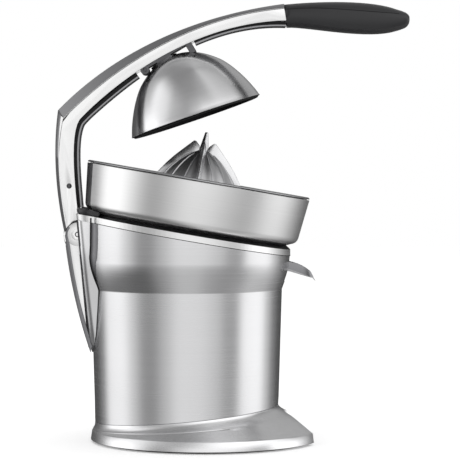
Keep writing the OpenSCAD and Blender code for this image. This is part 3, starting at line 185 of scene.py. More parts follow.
TILT_BACK = (0, -HEAD_TILT, 0)
DOME_BACK = (0, -DOME_LEAN, 0)
BODY_STEEL = brushed("brushed_body_steel", (0.78, 0.78, 0.79), 0.25)
BOWL_STEEL = brushed("brushed_bowl_steel", (0.98, 0.98, 0.98), 0.34, TILT_BACK)
DOME_STEEL = brushed("spun_dome_steel", (0.86, 0.86, 0.87), 0.22, DOME_BACK)
RIM_STEEL = brushed("satin_rim_steel", (0.48, 0.48, 0.49), 0.26, TILT_BACK)
BASE_CAST = cast_metal("bead_blasted_base", (0.93, 0.93, 0.94), 0.27, grain=3200.0, strength=0.004)
HOUSING_SATIN = cast_metal("satin_rear_housing", (0.90, 0.90, 0.91), 0.22, strength=0.03)
ARM_POLISH = cast_metal("polished_arm", (0.95, 0.95, 0.95), 0.14, grain=700.0, strength=0.012)
ARM_SATIN = brushed("satin_arm_strip", (0.40, 0.40, 0.41), 0.34, along=30.0, axis="Y")
LIP_SATIN = brushed("satin_lip", (0.34, 0.34, 0.35), 0.3, along=30.0, axis="Y")
# A dark satin grey that is painted shade on the bracket's band and spine and on the hollow beside the
# housing; the arm strip's tail takes it too
SATIN_SHADE = brushed("satin_painted_shade", (0.25, 0.25, 0.26), 0.34, along=30.0, axis="Y")
REAMER_CAST = cast_metal("satin_reamer", (0.66, 0.66, 0.67), 0.42, grain=800.0, strength=0.05)
FIN_CAST = cast_metal("satin_fins", (0.80, 0.80, 0.81), 0.28, grain=800.0, strength=0.03)
SPOUT_STEEL = cast_metal("polished_spout", (0.27, 0.27, 0.28), 0.2, grain=700.0, strength=0.01)
PLAIN_STEEL = brushed("turned_steel", (0.62, 0.62, 0.63), 0.3, along=60.0, across=1800.0)
# Blackened steel for screws and pins; also laid on as painted shade in the base's groove, by the housing's
# back corners and on the bowl's and rim's backs
DARK_STEEL = cast_metal("blackened_steel_and_painted_shade", (0.12, 0.12, 0.125), 0.4)
SADDLE_ALLOY = cast_metal("dark_saddle_alloy", (0.13, 0.13, 0.135), 0.35, strength=0.05)
GRIP_RUBBER = moulded("soft_touch_grip", (0.018, 0.018, 0.02), 0.34, grain=1600.0, strength=0.3, sheen=0.1)
# Black mouldings and dark joint lines; also the black of the painted shadow by the hinge, in the arm strip's
# groove and on the arm's channel strips
BLACK_MATT = moulded("black_moulding_and_painted_shadow", (0.012, 0.012, 0.013), 0.5, gloss=0.2)
BLACK_GLOSS = moulded("black_gloss_moulding", (0.025, 0.025, 0.028), 0.16, grain=900.0, strength=0.06)
FOOT_RUBBER = moulded("foot_rubber", (0.02, 0.02, 0.02), 0.7)
ACETAL = moulded("acetal_gears", (0.78, 0.76, 0.68), 0.4, grain=900.0, strength=0.1)
BRASS = cast_metal("sintered_brass", (0.72, 0.53, 0.27), 0.4)
MOTOR_PAINT = moulded("motor_paint", (0.10, 0.105, 0.11), 0.45)
CORE_METAL = brushed("laminated_core", (0.42, 0.36, 0.32), 0.4, TILT_BACK, along=40.0, across=1600.0)
SWITCH_RED = moulded("switch_button", (0.4, 0.03, 0.02), 0.4)

WEARERS = (
    (BODY_STEEL, "body_shell"),
    (BOWL_STEEL, "collar_ring juice_bowl"),
    (DOME_STEEL, "dome_shell"),
    (RIM_STEEL, "bowl_rim filter_basket"),
    (BASE_CAST, "base_skirt gearbox_housing gearbox_cover"),
    (HOUSING_SATIN, "rear_housing"),
    (ARM_POLISH, "hinge_bracket pin_caps lever_arm"),
    (ARM_SATIN, "arm_top_strip"),
    (REAMER_CAST, "reamer_cone"),
    (FIN_CAST, "reamer_fins"),
    (SPOUT_STEEL, "spout"),
    (PLAIN_STEEL, "base_screws bracket_screws hinge_pin grip_tang dome_screws drive_spindle spout_pin"),
    (PLAIN_STEEL, "gearbox_screws lay_pin"),
    (DARK_STEEL, "arm_cross_screw dome_pivot_pin"),
    (SADDLE_ALLOY, "dome_saddle"),
    (GRIP_RUBBER, "handle_grip"),
    # The arm's channel strips are black as painted shade of the channel
    (BLACK_MATT, "base_plate hinge_pocket top_deck arm_inner_strip arm_under_cover dome_liner"),
    (BLACK_MATT, "spout_bracket motor_endbell microswitch"),
    (BLACK_GLOSS, "rear_cap inner_bowl"),
    (FOOT_RUBBER, "foot_ring cord_gland shaft_seal"),
    (ACETAL, "hinge_bushes output_gear lay_gear"),
    (BRASS, "spindle_bearing motor_pinion"),
    (MOTOR_PAINT, "motor_can"),
    (CORE_METAL, "motor_rotor"),
    (SWITCH_RED, "switch_plunger"),
)
FINISH = {node: finish for finish, names in WEARERS for node in names.split()}


# ---- Curves ----
def steps_between(a, b, n):
    """Values from a to b in n equal steps."""
    return [a + (b - a) * i / n for i in range(n + 1)]


def full_turn(n):
    """The angles of a whole turn in n equal steps."""
    return [2 * math.pi * i / n for i in range(n)]


def share(value, start, length, least=0.0):
    """How far a value has come along a length from its start, from the least share to 1."""
    return min(1.0, max(least, (value - start) / length))


def rounded(start, corner, end, t):
    """A point on the curve that rounds a corner."""
    return tuple((1 - t) ** 2 * a + 2 * t * (1 - t) * b + t * t * c for a, b, c in zip(start, corner, end))


def bezier(c, t):
    u = 1 - t
    return tuple(u ** 3 * a + 3 * u * u * t * b + 3 * u * t * t * g + t ** 3 * h for a, b, g, h in zip(*c))


def bezier_side(c, t, distance):
    """A point beside the curve, to the right of its direction."""
    near = 0.004
    before, after = bezier(c, max(0.0, t - near)), bezier(c, min(1.0, t + near))
    dx, dz = after[0] - before[0], after[1] - before[1]
    size = math.hypot(dx, dz)
    x, z = bezier(c, t)
    return x + distance * dz / size, z - distance * dx / size


def soften(outline, radii, steps=4):
    """A closed outline with its corners rounded, each by its own radius."""
    result = []
    for i, (corner, radius) in enumerate(zip(outline, radii)):
        corner = Vector(corner)
        before = Vector(outline[i - 1]) - corner
        after = Vector(outline[(i + 1) % len(outline)]) - corner
        if not radius:
            result.append(tuple(corner))
            continue
        reach = min(radius, 0.45 * before.length, 0.45 * after.length)
        start = corner + before.normalized() * reach
        end = corner + after.normalized() * reach
        result += [tuple((1 - t) ** 2 * start + 2 * t * (1 - t) * corner + t * t * end)
                   for t in steps_between(0, 1, steps)]
    return result


# ---- Making meshes: places in millimetres, creases in degrees ----
CREASE, CAD_CREASE = 32.0, 28.0
MERGE, CAD_MERGE = 0.0005, 0.01
# Faces of a CAD mesh that turn by less than this are made one before its edges are broken
FLAT_WITHIN = 0.5
ROUND_FROM, ROUNDED_CREASE = 30.0, 40.0


def linked(name, data):
    obj = bpy.data.objects.new(name, data)
    bpy.context.scene.collection.objects.link(obj)
    return obj


def shade(mesh, crease):
    """Smooth shading, with the edges sharper than the crease left sharp."""
    for face in mesh.polygons:
        face.use_smooth = True
    mesh.set_sharp_from_angle(angle=math.radians(crease))


def dress(obj, node, *finishes):
    """The piece stands for a node and takes its body and finish, or the finishes named."""
    obj.data.materials.clear()
    for finish in finishes or (FINISH[node],):
        obj.data.materials.append(finish)
    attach(obj, BODY_OF[node])
    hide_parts(node)
    return obj


def new_piece(name, points, faces, place=None, crease=CREASE):
    """A piece from its points, merged and with its faces outwards."""
    mesh = bpy.data.meshes.new(name)
    mesh.from_pydata([tuple(v) for v in points], [], faces)
    bm = bmesh.new()
    bm.from_mesh(mesh)
    bmesh.ops.remove_doubles(bm, verts=bm.verts, dist=MERGE)
    bmesh.ops.recalc_face_normals(bm, faces=bm.faces)
    if place:
        bmesh.ops.transform(bm, matrix=place, verts=bm.verts)
    bmesh.ops.transform(bm, matrix=Matrix.Scale(MM, 4), verts=bm.verts)
    bm.to_mesh(mesh)
    bm.free()
    shade(mesh, crease)
    return linked(name, mesh)


def refined(node, bevel=0.0):
    """A merged, smooth-shaded copy of a CAD node, with its edges broken by the bevel."""
    mesh = NODES[node].data.copy()
    mesh.name = node + "_fine"
    bm = bmesh.new()
    bm.from_mesh(mesh)
    bmesh.ops.remove_doubles(bm, verts=bm.verts, dist=CAD_MERGE * MM)
    if bevel:
        bmesh.ops.dissolve_limit(bm, angle_limit=math.radians(FLAT_WITHIN), verts=bm.verts, edges=bm.edges)
        limit = math.radians(CAD_CREASE)
        edges = [e for e in bm.edges if len(e.link_faces) == 2 and e.calc_face_angle(0) > limit]
        bmesh.ops.bevel(bm, geom=edges, offset=bevel * MM, segments=2, profile=0.5, affect="EDGES",
                        clamp_overlap=True)
    bm.to_mesh(mesh)
    bm.free()
    shade(mesh, CAD_CREASE)
    return dress(linked(node + "_fine", mesh), node)


def loft(name, rings, place=None, crease=CREASE, endless=False):
    """Closed rings of points joined one to the next: the last to the first, or else both ends closed."""
    n, count = len(rings[0]), len(rings)
    points = [p for ring in rings for p in ring]
    faces = [] if endless else [tuple(range(n)), tuple(range(len(points) - 1, len(points) - n - 1, -1))]
    for i in range(count if endless else count - 1):
        j = (i + 1) % count
        faces += [(i * n + k, i * n + (k + 1) % n, j * n + (k + 1) % n, j * n + k) for k in range(n)]
    return new_piece(name, points, faces, place, crease)


def lathe(name, outline, place=None, steps=192, crease=CREASE):
    """A closed outline of (radius, height) spun round the upright axis."""
    rings = [[(r * math.cos(a), r * math.sin(a), z) for r, z in outline] for a in full_turn(steps)]
    return loft(name, rings, place, crease, endless=True)


def side_prism(name, outline, y0, y1, crease=CREASE):
    """An outline of the side view (x, z), as thick as from y0 to y1."""
    return loft(name, [[(x, y, z) for x, z in outline] for y in (y0, y1)], crease=crease)


def bake(obj, crease):
    """The piece's modifiers applied to its mesh, and taken off."""
    bpy.context.view_layer.update()
    graph = bpy.context.evaluated_depsgraph_get()
    mesh = bpy.data.meshes.new_from_object(obj.evaluated_get(graph))
    obj.modifiers.clear()
    obj.data = mesh
    shade(mesh, crease)


def cut(obj, cutter, crease=CREASE, mode="DIFFERENCE"):
    """The piece with another taken from it, and the cutter removed."""
    mod = obj.modifiers.new("cut", "BOOLEAN")
    mod.object = cutter
    mod.operation = mode
    mod.solver = "EXACT"
    bake(obj, crease)
    bpy.data.objects.remove(cutter)


def cut_box(obj, low, high, crease=CREASE):
    """The piece without what lies between two corners."""
    (x0, y0, z0), (x1, y1, z1) = low, high
    cut(obj, side_prism("cutter", [(x0, z0), (x1, z0), (x1, z1), (x0, z1)], y0, y1), crease)


def round_edges(obj, width):
    """The piece with its sharp edges rounded."""
    mod = obj.modifiers.new("rounded", "BEVEL")
    mod.width = width * MM
    mod.segments = 2
    mod.limit_method = "ANGLE"
    mod.angle_limit = math.radians(ROUND_FROM)
    mod.use_clamp_overlap = True
    bake(obj, ROUNDED_CREASE)
    return obj


def joined(name, first, *others):
    """One piece of several, that touch or overlap."""
    bm = bmesh.new()
    for piece in (first, *others):
        bm.from_mesh(piece.data)
    bm.to_mesh(first.data)
    bm.free()
    for other in others:
        bpy.data.objects.remove(other)
    first.name = first.data.name = name
    return first


# ---- Body ----
BODY_STEPS, BODY_WALL, BODY_CREASE = 256, 2.0, 40
# Heights of the body's rings between foot and collar, closer together where the head flares
BODY_LEVELS = [45, 80, 115, 140, 150, 153, 154.4, 155, 156, 158, 161, 165, 169, 173, 177, 180, 182, 184]
FOOT_BREAK, TOP_BREAK = 0.5, 0.4
COLLAR_GAP = 0.1
# The dark joint line's section, outwards from the head and upwards from the collar's lower edge
COLLAR_SEAM = [(-0.8, -0.4), (0.12, -0.4), (0.12, 0.15), (-0.8, 0.15)]
# The slot for the hinge in the head's back: its end and top, and its half width and floor in each piece
SLOT_X, SLOT_TOP = -92.4, 300.0
BODY_SLOT_HALF, BODY_SLOT_Z = 23.5, 192.2
HOUSING_SLOT_HALF, HOUSING_SLOT_Z = 24.4, 190.9
SPOUT_WINDOW = ((80, -14.7, 162.5), (130, 14.7, 189.5))


def body_radius(z):
    if z < WAIST_Z:
        return BODY_R_FOOT + (BODY_R_WAIST - BODY_R_FOOT) * (z - SEAM_Z) / (WAIST_Z - SEAM_Z)
    t = min(1.0, (z - WAIST_Z) / (HEAD_Z - WAIST_Z))
    return BODY_R_WAIST + (HEAD_R - BODY_R_WAIST) * math.sin(0.5 * math.pi * t)


def plane_z(w, x):
    """Height where the upright line at x meets the level w of the tilted axis."""
    return HEAD_CROSS_Z + (w - x * math.sin(HEAD_TILT)) / math.cos(HEAD_TILT)


def pushed_in(ring, depth):
    """A ring round the upright axis, made smaller by a depth."""
    sizes = [1 - depth / math.hypot(x, y) for x, y, _ in ring]
    return [(x * size, y * size, z) for (x, y, z), size in zip(ring, sizes)]


def cut_slot(obj, half, floor, crease=CREASE):
    """The piece without the slot for the hinge."""
    cut_box(obj, (-FAR, -half, floor), (SLOT_X, half, SLOT_TOP), crease)


def make_body():
    """The steel shell: a tapered can that flares into the head, cut off along the collar."""
    rings = [[] for _ in range(len(BODY_LEVELS) + 4)]
    for a in full_turn(BODY_STEPS):
        c, s = math.cos(a), math.sin(a)
        foot = SEAM_Z + math.tan(SEAM_TILT) * BODY_R_FOOT * c
        top = plane_z(COLLAR_W - COLLAR_GAP, HEAD_R * c)
        side = [(BODY_R_FOOT - FOOT_BREAK, foot), (BODY_R_FOOT, foot + FOOT_BREAK)]
        side += [(body_radius(z), z) for z in BODY_LEVELS]
        side += [(HEAD_R, top - TOP_BREAK), (HEAD_R - TOP_BREAK, top)]
        for ring, (r, z) in zip(rings, side):
            ring.append((r * c, r * s, z))
    inner = [pushed_in(ring, BODY_WALL) for ring in reversed(rings)]
    body = loft("body_shell_fine", rings + inner, crease=BODY_CREASE, endless=True)
    cut_slot(body, BODY_SLOT_HALF, BODY_SLOT_Z, BODY_CREASE)
    cut_box(body, *SPOUT_WINDOW, BODY_CREASE)
    dress(body, "body_shell")


def make_collar_seam():
    """The dark joint line between the collar and the body, with the gap for the hinge bracket."""
    rings = []
    for a in full_turn(BODY_STEPS):
        c, s = math.cos(a), math.sin(a)
        section = [(HEAD_R + out, COLLAR_W + up) for out, up in COLLAR_SEAM]
        rings.append([(r * c, r * s, plane_z(w, r * c)) for r, w in section])
    seam = loft("collar_seam", rings, endless=True)
    cut_slot(seam, HOUSING_SLOT_HALF, HOUSING_SLOT_Z)
    dress(seam, "collar_ring", BLACK_MATT)


# ---- Base ----
BASE_STEPS, BASE_CREASE = 288, 38
SEAM_SLOPE = math.tan(SEAM_TILT)
# The hollow round the seam: how much wider, further forward and lower than the seam its low ring is, how
# far down the slope to the rim it runs out, and the corner that it rounds between seam and low ring
HOLLOW_OUT, HOLLOW_X, HOLLOW_DROP, HOLLOW_RUNOUT = 4.5, 2.5, 6.0, 0.22
HOLLOW_CORNER_OUT, HOLLOW_CORNER_UP = 0.12, 0.1
# The fine groove where the hollow ends, which fades away towards the front, painted dark as shade behind a
# given x
GROOVE_DEPTH, GROOVE_FRONT_X, GROOVE_FADE, GROOVE_SHADE_X = 0.6, 60.0, 30.0, 45.0
# Shares of the way down the slope: the groove's two edges and its end, and the slope's own rings
GROOVE_SHARES = (0.02, 0.06, 0.08)
SLOPE_SHARES = (0.25, 0.5, 0.75, 0.92, 1.0)
UNDERSIDE_R, WELL_R = 108.5, 86.0
# Level rings below the slope as (radius, middle's x, height): rim, side, foot, underside and well
BASE_RINGS = [(BASE_R - 0.35, BASE_X, RIM_Z - 0.15), (BASE_R + 0.05, BASE_X, RIM_Z - 0.8),
              (BASE_R + 1.3, BASE_X, FOOT_H + 1.0), (BASE_R + 1.3, BASE_X, FOOT_H + 0.5),
              (BASE_R + 0.7, BASE_X, FOOT_H), (UNDERSIDE_R, BASE_X, FOOT_H),
              (UNDERSIDE_R, BASE_X, FOOT_H + 3), (UNDERSIDE_R - 2, BASE_X, RIM_Z - 5),
              (WELL_R, 0, RIM_Z + 1)]
# The cut-out for a glass: a round end this far forward, with straight sides that open to the front
GLASS_X, GLASS_R, GLASS_OPENING, GLASS_REACH = 97.5, 25.0, math.radians(45), 60.0
GLASS_CUT_Z = (-5, 60)


def base_ring(r, middle_x, z, slope=0.0):
    """A ring of the base, level or on a slope."""
    places = [(middle_x + r * math.cos(a), r * math.sin(a)) for a in full_turn(BASE_STEPS)]
    return [(x, y, z + slope * x) for x, y in places]


def between_rings(a, b, t):
    """A ring a share of the way from one ring to another."""
    return [tuple(p + (q - p) * t for p, q in zip(u, v)) for u, v in zip(a, b)]


def sunk(ring):
    """A ring of the groove, full depth at the back and next to none at the front."""
    return [(x, y, z - GROOVE_DEPTH * share(x, GROOVE_FRONT_X, -GROOVE_FADE, 0.02)) for x, y, z in ring]


def glass_outline():
    swing = math.pi / 2 - GLASS_OPENING
    middle = GLASS_X + GLASS_R
    arc = [(middle - GLASS_R * math.cos(a), -GLASS_R * math.sin(a))
           for a in steps_between(-swing, swing, 24)]
    (x0, y0), (x1, y1) = arc[0], arc[-1]
    return arc + [(x1 + GLASS_REACH, y1 - GLASS_REACH), (x0 + GLASS_REACH, y0 + GLASS_REACH)]


def make_skirt():
    """The cast base: a hollow under the body's edge, a slope out to the rim, the glass cut-out, and painted
    shade in a groove.
    """
    seam = base_ring(BODY_R_FOOT, 0, SEAM_Z - 0.1, SEAM_SLOPE)
    low = base_ring(BODY_R_FOOT + HOLLOW_OUT, HOLLOW_X, SEAM_Z - HOLLOW_DROP, SEAM_SLOPE)
    rim = base_ring(BASE_R - 1.2, BASE_X, RIM_Z + 0.15)
    runout = between_rings(low, rim, HOLLOW_RUNOUT)
    bends = [(u[0] + (v[0] - u[0]) * HOLLOW_CORNER_OUT, u[1] + (v[1] - u[1]) * HOLLOW_CORNER_OUT,
              v[2] + (u[2] - v[2]) * HOLLOW_CORNER_UP) for u, v in zip(seam, low)]
    rings = [[rounded(*curve, t) for curve in zip(seam, bends, runout)] for t in steps_between(0, 1, 8)]
    top, foot, end = (between_rings(runout, rim, t) for t in GROOVE_SHARES)
    groove = [sunk(top), sunk(foot)]
    rings += groove + [end]
    rings += [between_rings(runout, rim, t) for t in SLOPE_SHARES]
    rings += [base_ring(*row) for row in BASE_RINGS]
    rings.append(base_ring(WELL_R, 0, SEAM_Z - 1, SEAM_SLOPE))
    rings.append(base_ring(BODY_R_FOOT - 1.5, 0, SEAM_Z - 0.3, SEAM_SLOPE))
    skirt = loft("base_skirt_fine", rings, crease=BASE_CREASE, endless=True)
    cut(skirt, loft("cutter", [[(x, y, z) for x, y in glass_outline()] for z in GLASS_CUT_Z]), BASE_CREASE)
    dress(skirt, "base_skirt", BASE_CAST, DARK_STEEL)
    # Painted shade: the groove's faces towards the back take the dark steel
    dark = {tuple(round(c, 2) for c in point) for ring in groove for point in ring}
    points = skirt.data.vertices
    for face in skirt.data.polygons:
        corners = [tuple(round(c / MM, 2) for c in points[v].co) for v in face.vertices]
        if all(c in dark and c[0] < GROOVE_SHADE_X for c in corners):
            face.material_index = 1


# ---- Rear housing: the teardrop on the back of the body ----
HUMP_HALF, HUMP_FLARE = 54.0, math.radians(14)
HUMP_FOOT_Z, HUMP_FOOT_R, HUMP_FOOT_X = 90.0, 36.0, -BODY_R_WAIST + 0.6
HUMP_LEAN, HUMP_EDGE = math.radians(5.3), 7.0
# Above this half width the flaring sides turn upright, with a soft bend
HUMP_TURN_HALF, HUMP_TURN_SOFT = 40.0, 2.0
# How far its sides tuck in where they meet the body, its wall at the back, and of its back corners how much
# wider than deep they are, and their share of the room there
HUMP_TUCK, HUMP_WALL, CORNER_WIDER, CORNER_ROOM = 0.9, 0.35, 1.25, 0.92
HOUSING_LEVELS = [HUMP_FOOT_Z + 0.15, 90.8, 92, 94, 97, 101, 106, 112, 119, 127, 136, 146, 155, 163, 171,
                  180, 190, 200, 210, 220, 229, 238]
HOUSING_CREASE, COVE_CREASE = 50, 60
# The dark line round its back, painted shade by its back corners: its start, its width at the foot, how much
# wider it is at the top, and the height that it gets wider from, over a length
LINE_START, LINE_W, LINE_GROWTH, LINE_GROWTH_Z = 0.1, 1.0, 1.4, (100, 110)
# The dark bead's radius below the waist, how much it gains there as painted shade, and from which height
# over which length
SEAL_R, SEAL_GAIN, SEAL_GAIN_Z = 0.35, 0.45, (146, 12)
# The hollow between housing and head, in a grey that is painted shade: where it starts, and its full reach
# along each of them
COVE_Z, COVE_FADE, COVE_REACH = 158.0, 30.0, 5.5
SEAL_Z, COVE_ENDS_Z = (104, 228), (160, 238)


def hump_back_x(z):
    return HUMP_FOOT_X - (z - HUMP_FOOT_Z) * math.tan(HUMP_LEAN)


def hump_half_width(z):
    """Half width of the teardrop at a height: a round foot, then straight flaring sides."""
    centre = HUMP_FOOT_Z + HUMP_FOOT_R
    join_z = centre - HUMP_FOOT_R * math.sin(HUMP_FLARE)
    if z < join_z:
        return math.sqrt(max(0.0, HUMP_FOOT_R ** 2 - (centre - z) ** 2))
    wide = HUMP_FOOT_R * math.cos(HUMP_FLARE) + (z - join_z) * math.tan(HUMP_FLARE)
    if wide <= HUMP_TURN_HALF:
        return wide
    return HUMP_HALF - HUMP_TURN_SOFT * math.log1p(math.exp((HUMP_HALF - wide) / HUMP_TURN_SOFT))


def hump_ring(z):
    """A level cut through the housing: round back corners, sides that roll in to the body."""
    half, body, back = max(0.4, hump_half_width(z)), body_radius(z) + 0.3, hump_back_x(z)
    reach = -math.sqrt(max(1.0, body ** 2 - half ** 2))
    depth = max(0.3, reach - back)
    along = min(HUMP_EDGE, CORNER_ROOM * depth)
    across = min(CORNER_WIDER * HUMP_EDGE, CORNER_ROOM * half)
    corner = [(back + along * (1 - math.sin(q)), half - across * (1 - math.cos(q)))
              for q in steps_between(0, 0.5 * math.pi, 20)]
    outer = [(reach, half - HUMP_TUCK), (reach - min(1.0, 0.04 * depth), half - 0.1)] + corner
    full = outer + [(x, -y) for x, y in reversed(outer)]
    swing = math.asin(min(1.0, (half - HUMP_TUCK) / body))
    inner = [(max(-body * math.cos(a), back + HUMP_WALL), body * math.sin(a))
             for a in steps_between(-swing, swing, 12)[1:-1]]
    return [(x, y, z) for x, y in full + inner]


def cove_reach(z):
    """How far the hollow between housing and head reaches along each of them at a height."""
    return COVE_REACH * share(z, COVE_Z, COVE_FADE, 0.02)


def cove_ring(z, side):
    """A level cut through the hollow that runs from the housing's side out on to the head."""
    reach, half, body = cove_reach(z), hump_half_width(z), body_radius(z) + 0.05
    swing = math.asin(min(0.95, (half + 0.1) / body))
    corner = (-body * math.cos(swing), body * math.sin(swing))
    start = (corner[0] - 0.6 * reach, half + 0.1)
    turn = swing + 1.4 * reach / body
    end = (-body * math.cos(turn), body * math.sin(turn))
    curve = [rounded(start, corner, end, t) for t in steps_between(0, 1, 12)]
    inner = [(end[0] + 1.0, end[1] - 1.0), (corner[0] + 1.5, corner[1] - 2.0),
             (start[0] + 0.3, start[1] - 1.0)]
    return [(x, side * y, z) for x, y in curve + inner]


def seal_ring(z, side):
    """A level cut through the dark bead between housing and head, thinner below the waist; its extra width
    above is painted shade.
    """
    r = SEAL_R + SEAL_GAIN * share(z, *SEAL_GAIN_Z)
    half = hump_half_width(z)
    x = -math.sqrt(body_radius(z) ** 2 - (half + 0.2) ** 2) - 0.1 - cove_reach(z) * 0.6
    return [(x + r * math.cos(a), side * (half + 0.1) + side * r * math.sin(a), z) for a in full_turn(10)]


def above_collar():
    """A cutter for all that is above the collar's plane."""
    back_z, front_z = (plane_z(COLLAR_W - COLLAR_GAP, x) for x in (-FAR, FAR))
    outline = [(-FAR, back_z), (FAR, front_z), (FAR, 2 * FAR), (-FAR, 2 * FAR)]
    return side_prism("cutter", outline, -FAR, FAR)


def make_rear_housing():
    """The housing with a dark line round its back as painted shade, and along each side a dark bead, widened
    above the waist as painted shade, and a hollow in a painted-shade grey.
    """
    housing = loft("rear_housing_fine", [hump_ring(z) for z in HOUSING_LEVELS], crease=HOUSING_CREASE)
    cut(housing, above_collar(), HOUSING_CREASE)
    cut_slot(housing, HOUSING_SLOT_HALF, HOUSING_SLOT_Z, HOUSING_CREASE)
    dress(housing, "rear_housing", HOUSING_SATIN, DARK_STEEL)
    # Painted shade: faces by the back corners that turn sideways take the dark steel
    for face in housing.data.polygons:
        x, y, z = (c / MM for c in face.center)
        behind = x - hump_back_x(z)
        line = LINE_W + LINE_GROWTH * share(z, *LINE_GROWTH_Z)
        beside = abs(face.normal.y) > 0.12 and abs(y) > HOUSING_SLOT_HALF + 0.1
        if beside and LINE_START < behind < line:
            face.material_index = 1
    for side in (-1, 1):
        seal = loft("housing_seal_and_shade", [seal_ring(z, side) for z in steps_between(*SEAL_Z, 31)])
        dress(seal, "rear_housing", BLACK_MATT)
        cove = loft("housing_shade_cove", [cove_ring(z, side) for z in steps_between(*COVE_ENDS_Z, 30)])
        cut(cove, above_collar(), COVE_CREASE)
        # The hollow's grey is painted shade
        dress(cove, "rear_housing", SATIN_SHADE)


# ---- Hinge bracket ----
EAR_Y, EAR_T, EAR_R, EAR_START = 16.5, 4.0, 12.4, math.pi + 0.35
EAR_OUT = EAR_Y + EAR_T
# The bracket's back edge in the side view
SPINE = [(-96.9, 91.0), (-107.5, 121.0), (-117.2, 160.0), (-121.9, 199.0)]
SPINE_STEPS, SPINE_T = 24, 3.0
HOUSING_GAP = 0.3
CHEEK_LEVELS = (190.5, 170, 150, 130, 110, 98, 93)
# The raised band: its width on the ear and on the spine, and the ear's angle from one point to the next
BAND_EAR_W, BAND_W, BAND_TURN = 2.4, 4.3, 0.12
FLANGE_Z, FLANGE_T = (130, 169), 2.0
EDGE_ROUND = 0.35
# Black rings round the ears' tops, painted shadow in the gap between ear and arm: outer radius and width
EAR_SHADOW_R, EAR_SHADOW_T = 12.9, 0.6
CAP_RING = [(1.7, -0.4), (1.7, 0.05), (2.7, 0.05), (2.7, -0.4)]


def round_pin(radius, angles):
    """Points of the side view round the hinge pin."""
    return [(PIN[0] + radius * math.cos(a), PIN[1] + radius * math.sin(a)) for a in angles]


def behind_housing(gap, levels):
    """Points of the side view that follow the housing's back at a gap."""
    return [(hump_back_x(z) - gap, z) for z in levels]


def slab(name, outline, side, near, far):
    """A prism on one side of the middle plane, from near to far away from it."""
    return side_prism(name, outline, *sorted((side * near, side * far)))


def make_hinge_bracket():
    """Two polished cheeks with round ears, a curved spine between them, and a raised band along it; band and
    spine in a grey that is painted shade, with black strips and rings as painted shadow in the gaps.
    """
    spine = [bezier(SPINE, t) for t in steps_between(0, 1, SPINE_STEPS)]
    cheek = spine + round_pin(EAR_R, steps_between(EAR_START, 0, 20))
    cheek += [(PIN[0] + EAR_R, 205.0), (PIN[0] + 4, 191.2)] + behind_housing(HOUSING_GAP, CHEEK_LEVELS)
    turn = [EAR_START - BAND_TURN * i for i in range(10)]
    band = spine + round_pin(EAR_R, turn) + round_pin(EAR_R - BAND_EAR_W, reversed(turn))
    band += [bezier_side(SPINE, t, BAND_W) for t in steps_between(1, 0.07, SPINE_STEPS)]
    disc = round_pin(EAR_R - 0.6, full_turn(48))
    cheeks, bands = [], []
    for side in (-1, 1):
        cheeks.append(slab("cheek", cheek, side, EAR_Y, EAR_OUT))
        bands.append(slab("band", band, side, EAR_OUT - 0.5, EAR_OUT + 0.75))
        cheeks.append(slab("ear_face", disc, side, EAR_OUT - 0.5, EAR_OUT + 0.55))
    for piece in bands + cheeks:
        round_edges(piece, EDGE_ROUND)
    dress(joined("hinge_bracket_fine", *cheeks), "hinge_bracket")
    inner = [bezier_side(SPINE, t, SPINE_T) for t in steps_between(0.97, 0.07, SPINE_STEPS)]
    flange = behind_housing(HOUSING_GAP, FLANGE_Z) + behind_housing(HOUSING_GAP + FLANGE_T, FLANGE_Z[::-1])
    between = [side_prism(name, outline, -EAR_Y - 0.2, EAR_Y + 0.2)
               for name, outline in (("spine", spine[1:-1] + inner), ("flange", flange))]
    # The band, spine and flange take the grey that is painted shade
    dress(joined("bracket_rail_fine", *between, *bands), "hinge_bracket", SATIN_SHADE)
    # Painted shadow: black strips in the gaps beside the housing's back, and black rings round the ears
    shadow_strip = behind_housing(0.1, (94, 120, 150, 190.2)) + behind_housing(2.0, (190.2, 150, 120, 97))
    arc = [math.radians(a) for a in range(8, 165, 6)]
    shadow_ring = round_pin(EAR_SHADOW_R, arc) + round_pin(EAR_SHADOW_R - EAR_SHADOW_T, reversed(arc))
    for side in (-1, 1):
        dress(slab("bracket_shadow_strip", shadow_strip, side, EAR_Y + 1, EAR_OUT + 0.7), "hinge_bracket", BLACK_MATT)
        dress(slab("ear_shadow_ring", shadow_ring, side, EAR_Y + 0.3, EAR_OUT + 0.3), "hinge_bracket", BLACK_MATT)


def make_cap_rings():
    """A dark turned ring in the face of each hinge pin cap."""
    face_y = max(abs(v.co.y) for v in NODES["pin_caps"].data.vertices) / MM
    for side in (-1, 1):
        outwards = Matrix.Rotation(-side * math.pi / 2, 4, "X")
        place = Matrix.Translation((PIN[0], side * face_y, PIN[1])) @ outwards
        dress(lathe("cap_ring", CAP_RING, place, 48), "pin_caps", DARK_STEEL)


# ---- Lever arm: its curves in the side view, measured from the hinge pin ----
BACK_CURVE = [(-14.7, 3), (-23.2, 43), (-26.2, 84.6), (-20.7, 125.8)]
TOP_CURVE = [(-20.7, 125.8), (39.8, 188.3), (123.8, 222.3), (208.8, 233.3)]
BACK_SHOULDER = [(-11.2, 3), (-19.5, 43), (-21.7, 84.6), (-14.7, 116.3)]
TOP_SHOULDER = [(-14.7, 116.3), (43.8, 175.8), (124.8, 221.3), (208.8, 227.8)]
FRONT_LOW = [(9.8, 116.3), (-6.2, 107.3), (3.8, 39.8), (4.5, 20)]
UNDER_LOW = [(9.8, 116.3), (64.8, 166.8), (132.8, 214.3), (211.8, 210.3)]
ARM_HALF, CHANNEL_HALF = 16.0, 12.5
